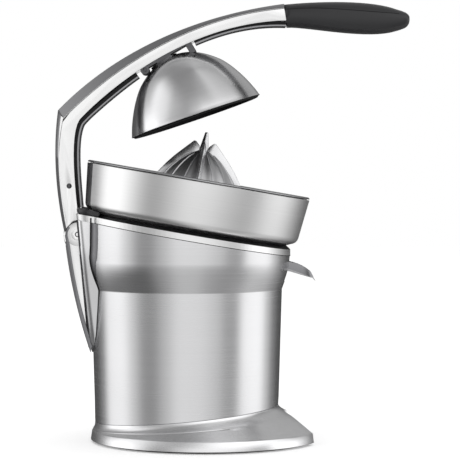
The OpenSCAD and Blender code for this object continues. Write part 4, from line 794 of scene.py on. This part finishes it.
# The strip's lower end, which runs past the bracket's ears, and how far above the pin it is dark
TAIL_OUTER = [(-13.2, -9.5), (-14.5, -5.0), (-15.2, -1.0)]
TAIL_INNER = [(-10.7, -9.5), (-12.2, -5.0), (-12.9, -1.0)]
TAIL_DARK_Z = 2.5
STRIP_BACK_STEPS, STRIP_TOP_STEPS, STRIP_PROUD = 30, 60, 0.06
# The chamfer on the arm's back: its depth, and how much deeper it gets up to the arm's corner
CHAMFER_DEPTH, CHAMFER_GROWTH = 3.8, 0.87
LUG_R, LUG_HALF = 6.5, 15.9
# A face that points sideways more than this, or less than that, and where the groove's inside is
SIDEWAYS, HARDLY_SIDEWAYS = 0.97, 0.02
GROOVE_INSIDE = (60, 60)
# The dark strips and their lips in the arm's channel, as depths into the arm; the strips' black is painted
# shade
INNER_STRIP, INNER_LIP = (1.6, 5.4), (0.0, 1.9)
# Where they run: along the upright curve, round the bend from one curve to the other, along the lower curve
# up to the dome's lugs, and along it again beyond the dome
UPRIGHT_RUN, BEND_RUN, LUG_RUN, COVER_RUN = (0.9, 0.13), (0.11, 0.03), (0.045, 0.295), (0.585, 0.995)


def arm_line(tail, back, top):
    """A line of the strip from its tail over the arm's back and corner and along its top."""
    line = tail + [bezier(back, t) for t in steps_between(0, 1, STRIP_BACK_STEPS)]
    return line + [bezier(top, t) for t in [0.004] + steps_between(0.016, 1, STRIP_TOP_STEPS)]


def strip_section(depth, chamfer, narrow):
    """Depths and half widths across the strip: top, chamfer, polished edge and groove, on both sides."""
    half = ARM_HALF + STRIP_PROUD
    side = [(0.0, half - narrow - 0.5), (0.3, half - narrow + 0.3),
            (chamfer - 0.3, half - 0.3), (chamfer + 0.1, half),
            (depth - 0.6, half), (depth - 0.45, half - 0.25), (depth - 0.3, half - 0.8),
            (depth - 0.02, half - 0.8)]
    return side + [(d, -y) for d, y in reversed(side)]


def make_arm_top_strip():
    """The strip along the arm's back and top: a satin chamfer, a polished edge and a fine groove painted
    black as its shadow.
    """
    corner = len(TAIL_OUTER) + STRIP_BACK_STEPS
    crest = arm_line(TAIL_OUTER, BACK_CURVE, TOP_CURVE)
    shoulder = arm_line(TAIL_INNER, BACK_SHOULDER, TOP_SHOULDER)
    rings = []
    for i, (outer, inner) in enumerate(zip(crest, shoulder)):
        depth = math.dist(outer, inner)
        ux, uz = (inner[0] - outer[0]) / depth, (inner[1] - outer[1]) / depth
        if i <= corner:
            chamfer = min(CHAMFER_DEPTH, 0.8 * depth) if i < len(TAIL_OUTER) else CHAMFER_DEPTH
            chamfer *= 1 + CHAMFER_GROWTH * (i / corner) ** 4
            depth = max(depth, chamfer + 1.5)
            narrow = 2.1 * min(CHAMFER_DEPTH, chamfer)
        else:
            chamfer, narrow = depth - 0.95, 1.2 + 0.62 * depth
        rings.append([(outer[0] + ux * d + PIN[0], y, outer[1] + uz * d + PIN[1])
                      for d, y in strip_section(depth, chamfer, narrow)])
    strip = loft("arm_top_strip_fine", rings, crease=25)
    dress(strip, "arm_top_strip", ARM_SATIN, ARM_POLISH, BLACK_MATT, SATIN_SHADE)
    for face in strip.data.polygons:
        across, outward = abs(face.normal.y), abs(face.center.y) / MM
        if side_place(face, PIN)[1] < TAIL_DARK_Z:
            face.material_index = 3
        elif across > SIDEWAYS and outward > ARM_HALF - 0.1:
            face.material_index = 1
        # Painted shadow: the groove's inner faces take the black
        elif outward > ARM_HALF - 0.9 and HARDLY_SIDEWAYS < across < SIDEWAYS and is_groove(face):
            face.material_index = 2


def side_place(face, origin):
    """Where a face's middle is in the side view, from a point."""
    return face.center.x / MM - origin[0], face.center.z / MM - origin[1]


def is_groove(face):
    """A face that turns inwards to the arm's middle line, as the fine groove beside the strip does."""
    x, z = side_place(face, PIN)
    return face.normal.x * (x - GROOVE_INSIDE[0]) + face.normal.z * (z - GROOVE_INSIDE[1]) < 0


def strip_piece(name, path, depths, half, edge):
    """A bar of rectangular section with broken corners, along a path and between two depths into the arm."""
    near, far = depths
    side = [(near, half - edge), (near + edge, half), (far - edge, half), (far, half - edge)]
    section = side + [(d, -y) for d, y in reversed(side)]
    rings = []
    for i, (x, z) in enumerate(path):
        ax, az = path[max(0, i - 1)]
        bx, bz = path[min(len(path) - 1, i + 1)]
        size = math.hypot(bx - ax, bz - az)
        nx, nz = -(bz - az) / size, (bx - ax) / size
        rings.append([(x + nx * d + PIN[0], y, z + nz * d + PIN[1]) for d, y in section])
    return loft(name, rings, crease=30)


def make_inner_strips():
    """Dark strips in the arm's channel, black as painted shade there, each with a satin metal lip along its
    outer edge.
    """
    before, after = bezier(FRONT_LOW, BEND_RUN[0]), bezier(UNDER_LOW, BEND_RUN[1])
    corner = bezier(FRONT_LOW, 0.0)
    upright = [bezier(FRONT_LOW, t) for t in steps_between(*UPRIGHT_RUN, 24)]
    turn = len(upright) - 1
    upright += [rounded(before, corner, after, t) for t in steps_between(0, 1, 6)]
    upright += [bezier(UNDER_LOW, t) for t in steps_between(*LUG_RUN, 13)]
    cover = [bezier(UNDER_LOW, t) for t in steps_between(*COVER_RUN, 18)]
    for node, path in (("arm_inner_strip", upright), ("arm_under_cover", cover)):
        dress(strip_piece(node + "_fine", path, INNER_STRIP, CHANNEL_HALF - 0.4, 0.3), node)
    for name, node, path in (("arm_lip_low", "arm_inner_strip", upright[:turn + 1]),
                             ("arm_lip_high", "arm_inner_strip", upright[turn:]),
                             ("arm_lip_far", "arm_under_cover", cover)):
        dress(strip_piece(name, path, INNER_LIP, CHANNEL_HALF - 0.1, 0.25), node, LIP_SATIN)


def make_lever_arm():
    """The arm's casting, with the two lugs of the dome's pin left dark."""
    arm = refined("lever_arm", bevel=EDGE_ROUND)
    arm.data.materials.append(SADDLE_ALLOY)
    for face in arm.data.polygons:
        if math.hypot(*side_place(face, DOME_PIN)) < LUG_R and abs(face.center.y) / MM < LUG_HALF:
            face.material_index = 1


# ---- Grip ----
GRIP_BLUNT_REACH, GRIP_BLUNT_POWER = 12.0, 0.8
# The moulded line in pixels of the photo, the axis's column and the floor's row there, and a pixel's size
GRIP_LINE_PIXELS = [(286.5, 9.4), (300, 8.6), (315.5, 8.3), (330, 8.9), (345.7, 9.9), (368.8, 11.6),
                    (393.7, 13.4), (401, 14.0)]
AXIS_COLUMN, FLOOR_ROW, PIXEL = 186.7, 440.5, 1.02
# The line is nearer to the camera than the axis is, so it shows this much larger round the view's middle
GRIP_NEARER = 1.008
CAMERA_X, CAMERA_Z = 44.2, 266.0
GRIP_LINE_T, GRIP_LINE_H = 0.25, 0.42


def grip_line_path():
    """The moulded line in the side view, with three points added in each stretch."""
    path = []
    for column, row in GRIP_LINE_PIXELS:
        x, z = (column - AXIS_COLUMN) * PIXEL, (FLOOR_ROW - row) * PIXEL
        path.append((CAMERA_X + (x - CAMERA_X) / GRIP_NEARER, CAMERA_Z + (z - CAMERA_Z) / GRIP_NEARER))
    return [(x + (next_x - x) * t, z + (next_z - z) * t)
            for (x, z), (next_x, next_z) in zip(path, path[1:]) for t in (0, 0.25, 0.5, 0.75)]


def make_grip():
    """The grip with a blunter end, and a moulded line along each side."""
    grip = refined("handle_grip")
    tip = max(v.co.x for v in grip.data.vertices)
    reach = GRIP_BLUNT_REACH * MM
    for v in grip.data.vertices:
        left = tip - v.co.x
        if left < reach:
            v.co.x = tip - left * (left / reach) ** GRIP_BLUNT_POWER
    skin = bmesh.new()
    skin.from_mesh(grip.data)
    tree = BVHTree.FromBMesh(skin)
    skin.free()
    for side in (-1, 1):
        rings = []
        for x, z in grip_line_path():
            hit = tree.ray_cast(Vector((x, side * FAR, z)) * MM, Vector((0, -side, 0)))[0]
            if hit:
                rings.append([(x, hit.y / MM + GRIP_LINE_T * math.cos(a), z + GRIP_LINE_H * math.sin(a))
                              for a in full_turn(8)])
        dress(loft("grip_line", rings), "handle_grip", BLACK_MATT)


# ---- Bowl ----
ARM_PRESSED, SWING_CLEAR, SWING_HALF = math.radians(12.9), 1.5, 17.5
BOWL_SEAT_W, BOWL_FLOOR_W, BOWL_FOOT_W = DECK_W + 0.1, DECK_W + 1.6, DECK_W + 5.5
STEEL_TOP_W = BOWL_TOP_W - BOWL_RIM_H - 0.6
BOWL_SEAT_R, BOWL_HOLE_R, BOWL_WALL, BOWL_FOOT_ROUND = 99.2, 21.0, 1.5, 5.0
DUCT_X, DUCT_R, DUCT_TOP = 88.0, 10.1, 50.0
RIM_INNER_R = 108.8
BOWL_CREASE, RIM_CREASE = 45, 50
# The relief's inner end, and the painted shade on the bowl's back: its half width, and the outside and the
# end of it
RELIEF_INNER_R = 60.0
BACK_SHADE_HALF, BACK_SKIN_R, BACK_END_X = 43.0, 106.0, -100.0


def swing_prism(grow, half):
    """The space that the arm's inner side sweeps down to when it is pressed, with its clearance."""
    c, s = math.cos(ARM_PRESSED), math.sin(ARM_PRESSED)
    edge = []
    for x, z in [bezier(FRONT_LOW, t) for t in steps_between(0, 1, 24)]:
        edge.append((x * c + z * s + SWING_CLEAR + PIN[0] + grow, z * c - x * s + PIN[1]))
    last, below = edge[-1][0] + 4, PIN[1] - 8
    outline = [(-1.5 * FAR, edge[0][1])] + edge + [(last, PIN[1]), (last, below), (-1.5 * FAR, below)]
    return side_prism("cutter", outline, -half, half)


def bowl_outline(inset):
    """The bowl's wall and rounded foot, from its seat on the deck to its top edge."""
    return soften([(BOWL_SEAT_R - inset * 0.4, BOWL_SEAT_W + inset),
                   (BOWL_R_FOOT - 0.2 - inset, BOWL_FOOT_W - 0.9 + inset),
                   (BOWL_R - inset, STEEL_TOP_W)], [0, BOWL_FOOT_ROUND, 0], 8)


def paint_back_shade(obj, skin_r, front_x):
    """Painted shade: the second finish on the outside of the back, on either side of the arm."""
    level = TILTED.inverted()
    for face in obj.data.polygons:
        x, y, _ = level @ (face.center / MM)
        if x < front_x and abs(y) < BACK_SHADE_HALF and math.hypot(x, y) > skin_r:
            face.material_index = 1


def make_juice_bowl():
    """The steel bowl with its juice duct, and a relief in its back that the arm swings into."""
    outer, inner = bowl_outline(0.0), list(reversed(bowl_outline(BOWL_WALL)))
    outer[-1] = (BOWL_R - 0.03, STEEL_TOP_W - 0.4)
    inner[0] = (BOWL_R - BOWL_WALL + 0.03, STEEL_TOP_W - 0.4)
    top_edge = [(BOWL_R - 0.35, STEEL_TOP_W), (BOWL_R - 1.15, STEEL_TOP_W)]
    outline = [(BOWL_HOLE_R, BOWL_SEAT_W)] + outer + top_edge + inner + [(BOWL_HOLE_R, BOWL_FLOOR_W)]
    bowl = lathe("juice_bowl_fine", outline, TILTED, crease=BOWL_CREASE)
    cut(bowl, swing_prism(0, SWING_HALF), BOWL_CREASE)
    duct = [(0, 0), (DUCT_R, 0), (DUCT_R, DUCT_TOP), (0, DUCT_TOP)]
    cut(bowl, lathe("cutter", duct, TILTED @ Matrix.Translation((DUCT_X, 0, 0)), 48), BOWL_CREASE)
    dress(bowl, "juice_bowl", BOWL_STEEL, DARK_STEEL)
    paint_back_shade(bowl, BACK_SKIN_R, BACK_END_X)
    relief = swing_prism(BOWL_WALL, SWING_HALF + BOWL_WALL)
    relief.name = relief.data.name = "bowl_relief_fine"
    cut(relief, swing_prism(0, SWING_HALF))
    space = [(RELIEF_INNER_R, BOWL_FLOOR_W)] + bowl_outline(0.15) + [(RELIEF_INNER_R, STEEL_TOP_W)]
    cut(relief, lathe("cutter", space, TILTED), BOWL_CREASE, "INTERSECT")
    dress(relief, "juice_bowl")


def make_bowl_rim():
    low = BOWL_TOP_W - BOWL_RIM_H
    outline = soften([(RIM_INNER_R, BOWL_TOP_W), (RIM_INNER_R, low), (BOWL_R - 0.1, low + 0.3),
                      (BOWL_R - 0.1, BOWL_TOP_W - 0.9), (BOWL_R - 1.6, BOWL_TOP_W)], [0.3, 0, 0.5, 0.6, 0.6])
    rim = lathe("bowl_rim_fine", outline, TILTED, crease=RIM_CREASE)
    cut(rim, swing_prism(0, SWING_HALF), RIM_CREASE)
    dress(rim, "bowl_rim", RIM_STEEL, DARK_STEEL)
    paint_back_shade(rim, BOWL_R - 1.8, 0)


# ---- Spout ----
# Above this line in the side view the spout is painted darker as shade, and below it lighter as painted
# light
SPOUT_SHADE_LINE = [(104.3, 175.4), (122.7, 168.8)]


def make_spout():
    """The spout, painted darker above the line along its side and lighter along its lower edge, as shade and
    light.
    """
    spout = refined("spout", bevel=0.3)
    (x, z), (far_x, far_z) = SPOUT_SHADE_LINE
    up = Vector((z - far_z, 0, far_x - x)).normalized()
    start = Vector((x, 0, z)) * MM
    bm = bmesh.new()
    bm.from_mesh(spout.data)
    bmesh.ops.bisect_plane(bm, geom=bm.verts[:] + bm.edges[:] + bm.faces[:], plane_co=start, plane_no=up)
    bm.to_mesh(spout.data)
    bm.free()
    shade(spout.data, CAD_CREASE)
    dress(spout, "spout", SPOUT_STEEL, RIM_STEEL)
    for face in spout.data.polygons:
        face.material_index = 1 if (face.center - start).dot(up) < 0 else 0


# ---- Reamer: radii and levels along the tilted axis ----
CONE_CURVE = [(47, 54), (39, 76), (23, 96), (0, 104)]
CONE_STEPS, CONE_TIP_R = 192, 0.4
CONE_INNER, CONE_INNER_DROP = 0.92, 2.5
FLUTE_DEPTH, FLUTE_LIFT = 1.3, 0.35
RIBS_ROUND = 16
# Half of a rib's section as (outwards, half width, upwards) from the cone's side
RIB_SECTION = [(-1.6, 1.0, -0.8), (0.2, 0.85, 0.0), (0.75, 0.4, 0.3)]
FIN_EDGE = [(49.5, 57.2), (46.6, 65), (42.5, 74), (35.6, 84), (27.8, 93.5), (19.5, 102.3), (11.4, 110.8),
            (9.4, 110.8), (5.0, 106.6)]
FIN_ROOT = [(45.0, 56), (42.5, 63), (39.0, 71), (31.5, 79.5), (23.6, 87.8), (15.6, 94.6), (9.2, 99),
            (7.4, 99.8), (4.4, 101)]
FINS_ROUND, FIN_ROOT_T = 4, 3.6
CORE = [(0.02, 98), (4.3, 98), (4.3, 105.5), (1.5, 121), (0.02, 121)]
CORE_ROUND = [0, 0, 1.5, 1.0, 0]
BLADE, BLADE_HALF = [(-3.4, 104), (3.4, 104), (1.3, 120.6), (-1.3, 120.6)], 0.9


def repeated_round(source, count, finish, crease):
    """Copies of one piece round the upright axis, made by Geometry Nodes and baked to a plain mesh."""
    tree = bpy.data.node_groups.new("ribs_round_cone", "GeometryNodeTree")
    sockets = (("Geometry", "INPUT", "Geometry"), ("Geometry", "OUTPUT", "Geometry"),
               ("Count", "INPUT", "Int"), ("Step", "INPUT", "Float"))
    _, _, amount, step = [tree.interface.new_socket(name, in_out=side, socket_type="NodeSocket" + kind)
                          for name, side, kind in sockets]
    given = add_node(tree, "NodeGroupInput").outputs
    number = add_node(tree, "GeometryNodeInputIndex").outputs["Index"]
    turn = math_node(tree, "MULTIPLY", number, given["Step"])
    angles = add_node(tree, "ShaderNodeCombineXYZ", {"Z": turn}).outputs["Vector"]
    places = add_node(tree, "GeometryNodePoints", {"Count": given["Count"]}).outputs["Points"]
    copies = add_node(tree, "GeometryNodeInstanceOnPoints",
                      {"Points": places, "Instance": given["Geometry"], "Rotation": angles})
    whole = add_node(tree, "GeometryNodeRealizeInstances", {"Geometry": copies.outputs["Instances"]})
    finished = add_node(tree, "GeometryNodeSetMaterial",
                        {"Geometry": whole.outputs["Geometry"], "Material": finish})
    add_node(tree, "NodeGroupOutput", {"Geometry": finished.outputs["Geometry"]})
    mod = source.modifiers.new("round", "NODES")
    mod.node_group = tree
    mod[amount.identifier] = count
    mod[step.identifier] = 2 * math.pi / count
    bake(source, crease)
    return source


def cone_ring(r, w):
    """A ring of the cone, pressed in between its ribs."""
    ring = []
    for k, a in enumerate(full_turn(CONE_STEPS)):
        dip = math.sin(math.pi * ((k * RIBS_ROUND / CONE_STEPS) % 1.0)) ** 2
        size = r - min(FLUTE_DEPTH, 0.05 * r) * dip
        lift = FLUTE_LIFT * dip * (1 - r / CONE_CURVE[0][0])
        ring.append((size * math.cos(a), size * math.sin(a), w + lift))
    return ring


def make_cone():
    """A hollow cone with shallow flutes, and fine ribs between them."""
    outline = [bezier(CONE_CURVE, t) for t in steps_between(0, 1, 28)]
    outer = [cone_ring(r, w) for r, w in outline[:-1]]
    outer.append([(CONE_TIP_R * math.cos(a), CONE_TIP_R * math.sin(a), CONE_CURVE[-1][1])
                  for a in full_turn(CONE_STEPS)])
    inner = [[(CONE_INNER * x, CONE_INNER * y, z - CONE_INNER_DROP if i else z) for x, y, z in ring]
             for i, ring in enumerate(outer)]
    dress(loft("reamer_cone_fine", inner[::-1] + outer, TILTED, 35), "reamer_cone")
    rib_rings = []
    for r, w in outline[2:24]:
        side = [(r + out, half, w + up) for out, half, up in RIB_SECTION]
        rib_rings.append(side + [(x, -y, z) for x, y, z in reversed(side)])
    ribs = repeated_round(loft("cone_ribs_fine", rib_rings, crease=50), RIBS_ROUND, REAMER_CAST, 50)
    ribs.data.transform(TILTED_METRES)
    dress(ribs, "reamer_cone")


def make_fins():
    """Four wedge-shaped fins, the pointed core that they meet in, and the blade across it."""
    rings = []
    for (out, w), (root_r, root_w) in zip(FIN_EDGE, FIN_ROOT):
        root = min(FIN_ROOT_T, 0.7 + 0.45 * math.dist((out, w), (root_r, root_w)))
        half = [(out - 0.3, 0.45, w - 0.1), (root_r, root, root_w),
                (max(0.5, root_r - 5), root, root_w - 4)]
        rings.append([(out, 0.0, w)] + half + [(x, -y, z) for x, y, z in reversed(half)])
    fins = []
    for q in range(FINS_ROUND):
        fin = loft("fin", rings, crease=30)
        fin.data.transform(Matrix.Rotation(2 * math.pi / FINS_ROUND * q, 4, "Z"))
        fins.append(fin)
    core = lathe("reamer_fins_fine", soften(CORE, CORE_ROUND), None, 48, 40)
    blade = side_prism("blade", BLADE, -BLADE_HALF, BLADE_HALF)
    blade.data.transform(Matrix.Rotation(math.pi / 2, 4, "Z"))
    crossed = joined("reamer_fins_fine", core, round_edges(blade, 0.3), *fins)
    crossed.data.transform(TILTED_METRES)
    shade(crossed.data, 30)
    dress(crossed, "reamer_fins")


# ---- Dome ----
# The dome's side above its edge, and of its round part the radius, the drop of its top and how much flatter
# it is between
DOME_SIDE = [(68.6, -1.2), (65.2, 12.4), (52.7, 37.9), (40.4, 48.2)]
DOME_R, DOME_TOP_DROP, DOME_FLATTER = 67.3, 2.0, 3.4
DOME_WALL = 1.2
# The dome's lower edge, in place of the first point of its side
DOME_EDGE = [(68.4, -1.3), (68.8, -1.0)]
DOME_STEPS, DOME_ROUND_FROM = 40, 23
# The black liner's edge, which shows below the dome's
LINER_LIP = [(60.0, 0.5), (60.0, -2.8), (66.0, -2.8), (67.2, -1.6), (67.2, 0.5)]


def dome_outline(inset):
    """The dome's side from its flared edge to its top: nearly straight at first, then round."""
    side = []
    for t in steps_between(0, 0.96, 24):
        x, z = bezier(DOME_SIDE, t)
        side.append((x - inset * (1 - 0.3 * t), z - 0.7 * inset * t))
    for i in range(DOME_ROUND_FROM, DOME_STEPS + 1):
        a = 0.5 * math.pi * i / DOME_STEPS
        r = DOME_R - DOME_TOP_DROP * i / DOME_STEPS - DOME_FLATTER * math.sin(2 * a) ** 2 - inset
        side.append((max(0.0, r * math.cos(a)), r * math.sin(a)))
    return side


def make_dome():
    outline = DOME_EDGE + dome_outline(0)[1:] + dome_outline(DOME_WALL)[::-1]
    dome = lathe("dome_shell_fine", outline, DOME_PLACE, 160, 50)
    dress(lathe("liner_lip", LINER_LIP, DOME_PLACE, 160), "dome_liner")
    dress(dome, "dome_shell")


# ---- Stage ----
SOFT_LIGHT = 0.78
FLOOR_GREY, FLOOR_GLOW, FLOOR_HALF = 0.96, 0.26, 6.0
# The lamp over the object, in metres and watts, and the camera's lens and distance
LAMP_AT, LAMP_TOWARDS, LAMP_SIDE, LAMP_POWER = (0.0, 0.3, 2.4), (0, 0, 0.2), 3.0, 14
LENS, SENSOR, CAMERA_DISTANCE, LOOK_Z, CLIP_END = 161.1, 36.0, 2.1, 0.2147, 50.0
# Studio walls by azimuth in degrees, 0 behind the camera: bright panels with darker gaps between them
WALL_STOPS = [(-180, 0.06), (-142, 0.08), (-123, 0.25), (-108, 1.15), (-82, 1.25), (-68, 0.8), (-52, 0.34),
              (-40, 0.31), (-26, 0.6), (-8, 0.9), (18, 0.86), (38, 0.7), (50, 0.4), (62, 0.34), (74, 1.2),
              (102, 1.25), (116, 0.6), (132, 0.2), (150, 0.08), (180, 0.06)]
# Grey of the ceiling at a third of the way up, of its top, and of the ground, by the same degrees
CEILING_STOPS = [(-180, 0.32), (-152, 0.18), (-128, 0.34), (-110, 0.52), (-90, 1.05), (-70, 0.9), (-50, 0.5),
                 (-28, 0.38), (-10, 0.6), (10, 1.1), (34, 1.25), (70, 1.2), (90, 0.9), (106, 0.2),
                 (130, 0.34), (155, 0.38), (180, 0.32)]
TOP_STOPS = [(-180, 0.52), (-150, 0.38), (-120, 0.27), (-60, 0.25), (-20, 0.28), (10, 0.38), (45, 0.66),
             (80, 0.55), (125, 0.40), (160, 0.46), (180, 0.50)]
GROUND_STOPS = [(-180, 0.03), (-150, 0.06), (-128, 0.14), (-110, 0.18), (-90, 0.18), (-70, 0.14),
                (-50, 0.12), (-28, 0.36), (-8, 0.62), (12, 0.6), (32, 0.42), (50, 0.34), (68, 0.36),
                (88, 0.62), (110, 0.54), (130, 0.33), (152, 0.12), (180, 0.03)]
# By the height of the direction, -1 straight down to 1 straight up: how much brighter the walls get,
# how far ceiling and ground take over from them, and how far the ceiling is its top
WALL_GAIN = [(-1, 1), (-0.36, 1), (-0.2, 1.15), (-0.1, 1), (0, 1), (0.04, 1.12), (0.3, 1.12), (1, 1)]
STEEP_SHARE = [(-1, 1), (-0.48, 1), (-0.07, 0), (0.1, 0), (0.38, 1), (1, 1)]
TOP_SHARE = [(-1, 0), (0.58, 0), (0.86, 1), (1, 1)]


def level_ramp(tree, value, stops, low, high):
    """A smooth grey level over a value that runs from low to high."""
    along = math_node(tree, "DIVIDE", math_node(tree, "SUBTRACT", value, low), high - low)
    node = add_node(tree, "ShaderNodeValToRGB", {"Fac": along})
    node.color_ramp.interpolation = "EASE"
    elements = node.color_ramp.elements
    elements.remove(elements[-1])
    for i, (at, level) in enumerate(stops):
        element = elements[0] if i == 0 else elements.new((at - low) / (high - low))
        element.position = (at - low) / (high - low)
        element.color = (level, level, level, 1)
    return node.outputs["Color"]


def blended(tree, factor, first, second):
    """From the first level to the second as the factor runs from 0 to 1."""
    inputs = {"Factor": factor, "A": first, "B": second}
    return add_node(tree, "ShaderNodeMix", inputs, data_type="FLOAT").outputs["Result"]


def studio_walls(tree):
    """The grey that a mirror sees: upright panels round the object, a ceiling, and a darker ground."""
    coords = add_node(tree, "ShaderNodeTexCoord").outputs["Generated"]
    direction = add_node(tree, "ShaderNodeSeparateXYZ", {"Vector": coords}).outputs
    towards = math_node(tree, "MULTIPLY", direction["Y"], -1.0)
    turn = math_node(tree, "ARCTAN2", direction["X"], towards)
    azimuth = math_node(tree, "DIVIDE", turn, math.radians(1))
    height = direction["Z"]
    walls = math_node(tree, "MULTIPLY", level_ramp(tree, azimuth, WALL_STOPS, -180, 180),
                      level_ramp(tree, height, WALL_GAIN, -1, 1))
    ceiling = blended(tree, level_ramp(tree, height, TOP_SHARE, -1, 1),
                      level_ramp(tree, azimuth, CEILING_STOPS, -180, 180),
                      level_ramp(tree, azimuth, TOP_STOPS, -180, 180))
    steep = blended(tree, math_node(tree, "GREATER_THAN", height, 0.0),
                    level_ramp(tree, azimuth, GROUND_STOPS, -180, 180), ceiling)
    return blended(tree, level_ramp(tree, height, STEEP_SHARE, -1, 1), walls, steep)


def backdrop(tree, level, colour=(1, 1, 1, 1)):
    return add_node(tree, "ShaderNodeBackground", {"Color": colour, "Strength": level}).outputs["Background"]


def mixed(tree, factor, first, second):
    return add_node(tree, "ShaderNodeMixShader", {0: factor, 1: first, 2: second}).outputs["Shader"]


def ray_kinds(tree):
    """Whether a ray comes from the camera, and whether it has come by way of metal or glass."""
    rays = add_node(tree, "ShaderNodeLightPath").outputs
    mirrored = math_node(tree, "MAXIMUM", rays["Is Glossy Ray"], rays["Is Transmission Ray"])
    return rays["Is Camera Ray"], mirrored


def world_light():
    """White where the camera looks, studio walls in the metal, an even soft light everywhere else."""
    world = bpy.data.worlds.new("studio")
    bpy.context.scene.world = world
    tree = bare_tree(world)
    seen, mirrored = ray_kinds(tree)
    light = mixed(tree, mirrored, backdrop(tree, SOFT_LIGHT), backdrop(tree, 1.0, studio_walls(tree)))
    add_node(tree, "ShaderNodeOutputWorld", {"Surface": mixed(tree, seen, light, backdrop(tree, 1.0))})


def floor_finish():
    """A white floor that keeps the object's shadow; the metal sees the studio walls through it."""
    mat, tree = new_material("white_floor")
    seen, mirrored = ray_kinds(tree)
    white = (FLOOR_GREY, FLOOR_GREY, FLOOR_GREY, 1)
    matt = add_node(tree, "ShaderNodeBsdfDiffuse", {"Color": white}).outputs["BSDF"]
    glow = add_node(tree, "ShaderNodeEmission", {"Strength": FLOOR_GLOW}).outputs["Emission"]
    shown = add_node(tree, "ShaderNodeAddShader", {0: matt, 1: glow}).outputs["Shader"]
    clear = add_node(tree, "ShaderNodeBsdfTransparent").outputs["BSDF"]
    solid = mixed(tree, seen, matt, shown)
    add_node(tree, "ShaderNodeOutputMaterial", {"Surface": mixed(tree, mirrored, solid, clear)})
    return mat


def aim(obj, at, towards):
    """A lamp or camera put in its place and turned towards a point."""
    obj.location = at
    obj.rotation_euler = (towards - at).to_track_quat("-Z", "Y").to_euler()


def make_stage():
    """The studio's light, one soft lamp from above, and the floor."""
    world_light()
    light = bpy.data.lights.new("top_softbox", "AREA")
    light.size = LAMP_SIDE
    light.energy = LAMP_POWER
    lamp = linked("top_softbox", light)
    aim(lamp, Vector(LAMP_AT), Vector(LAMP_TOWARDS))
    lamp.visible_glossy = False
    mesh = bpy.data.meshes.new("floor")
    far = FLOOR_HALF
    mesh.from_pydata([(-far, -far, 0), (far, -far, 0), (far, far, 0), (-far, far, 0)], [], [(0, 1, 2, 3)])
    mesh.materials.append(floor_finish())
    floor = linked("floor", mesh)


def make_camera():
    """The camera where the photo's was, by the object's size and outline in the frame."""
    data = bpy.data.cameras.new("photo_camera")
    data.lens = LENS
    data.sensor_width = SENSOR
    data.sensor_fit = "HORIZONTAL"
    data.clip_end = CLIP_END
    camera = linked("photo_camera", data)
    x = CAMERA_X * MM
    aim(camera, Vector((x, -CAMERA_DISTANCE, CAMERA_Z * MM)), Vector((x, 0, LOOK_Z)))
    bpy.context.scene.camera = camera


REMODELLED = {"body_shell", "base_skirt", "rear_housing", "hinge_bracket", "arm_top_strip",
              "arm_inner_strip", "arm_under_cover", "lever_arm", "handle_grip", "juice_bowl", "bowl_rim",
              "spout", "dome_shell", "reamer_cone", "reamer_fins"}
# How far the edges of other pieces are broken
BROKEN_EDGES = {"rear_cap": 1.6, "pin_caps": 0.2, "dome_saddle": 0.3, "dome_liner": 0.3, "foot_ring": 0.4,
                "cord_gland": 0.3}
make_body()
make_collar_seam()
make_skirt()
make_rear_housing()
make_hinge_bracket()
make_cap_rings()
make_arm_top_strip()
make_inner_strips()
make_lever_arm()
make_grip()
make_juice_bowl()
make_bowl_rim()
make_spout()
make_dome()
make_cone()
make_fins()
for node_name in sorted(NODES):
    if node_name not in REMODELLED:
        refined(node_name, BROKEN_EDGES.get(node_name, 0.0))

make_camera()
make_stage()
bpy.context.scene.view_settings.view_transform = "Standard"
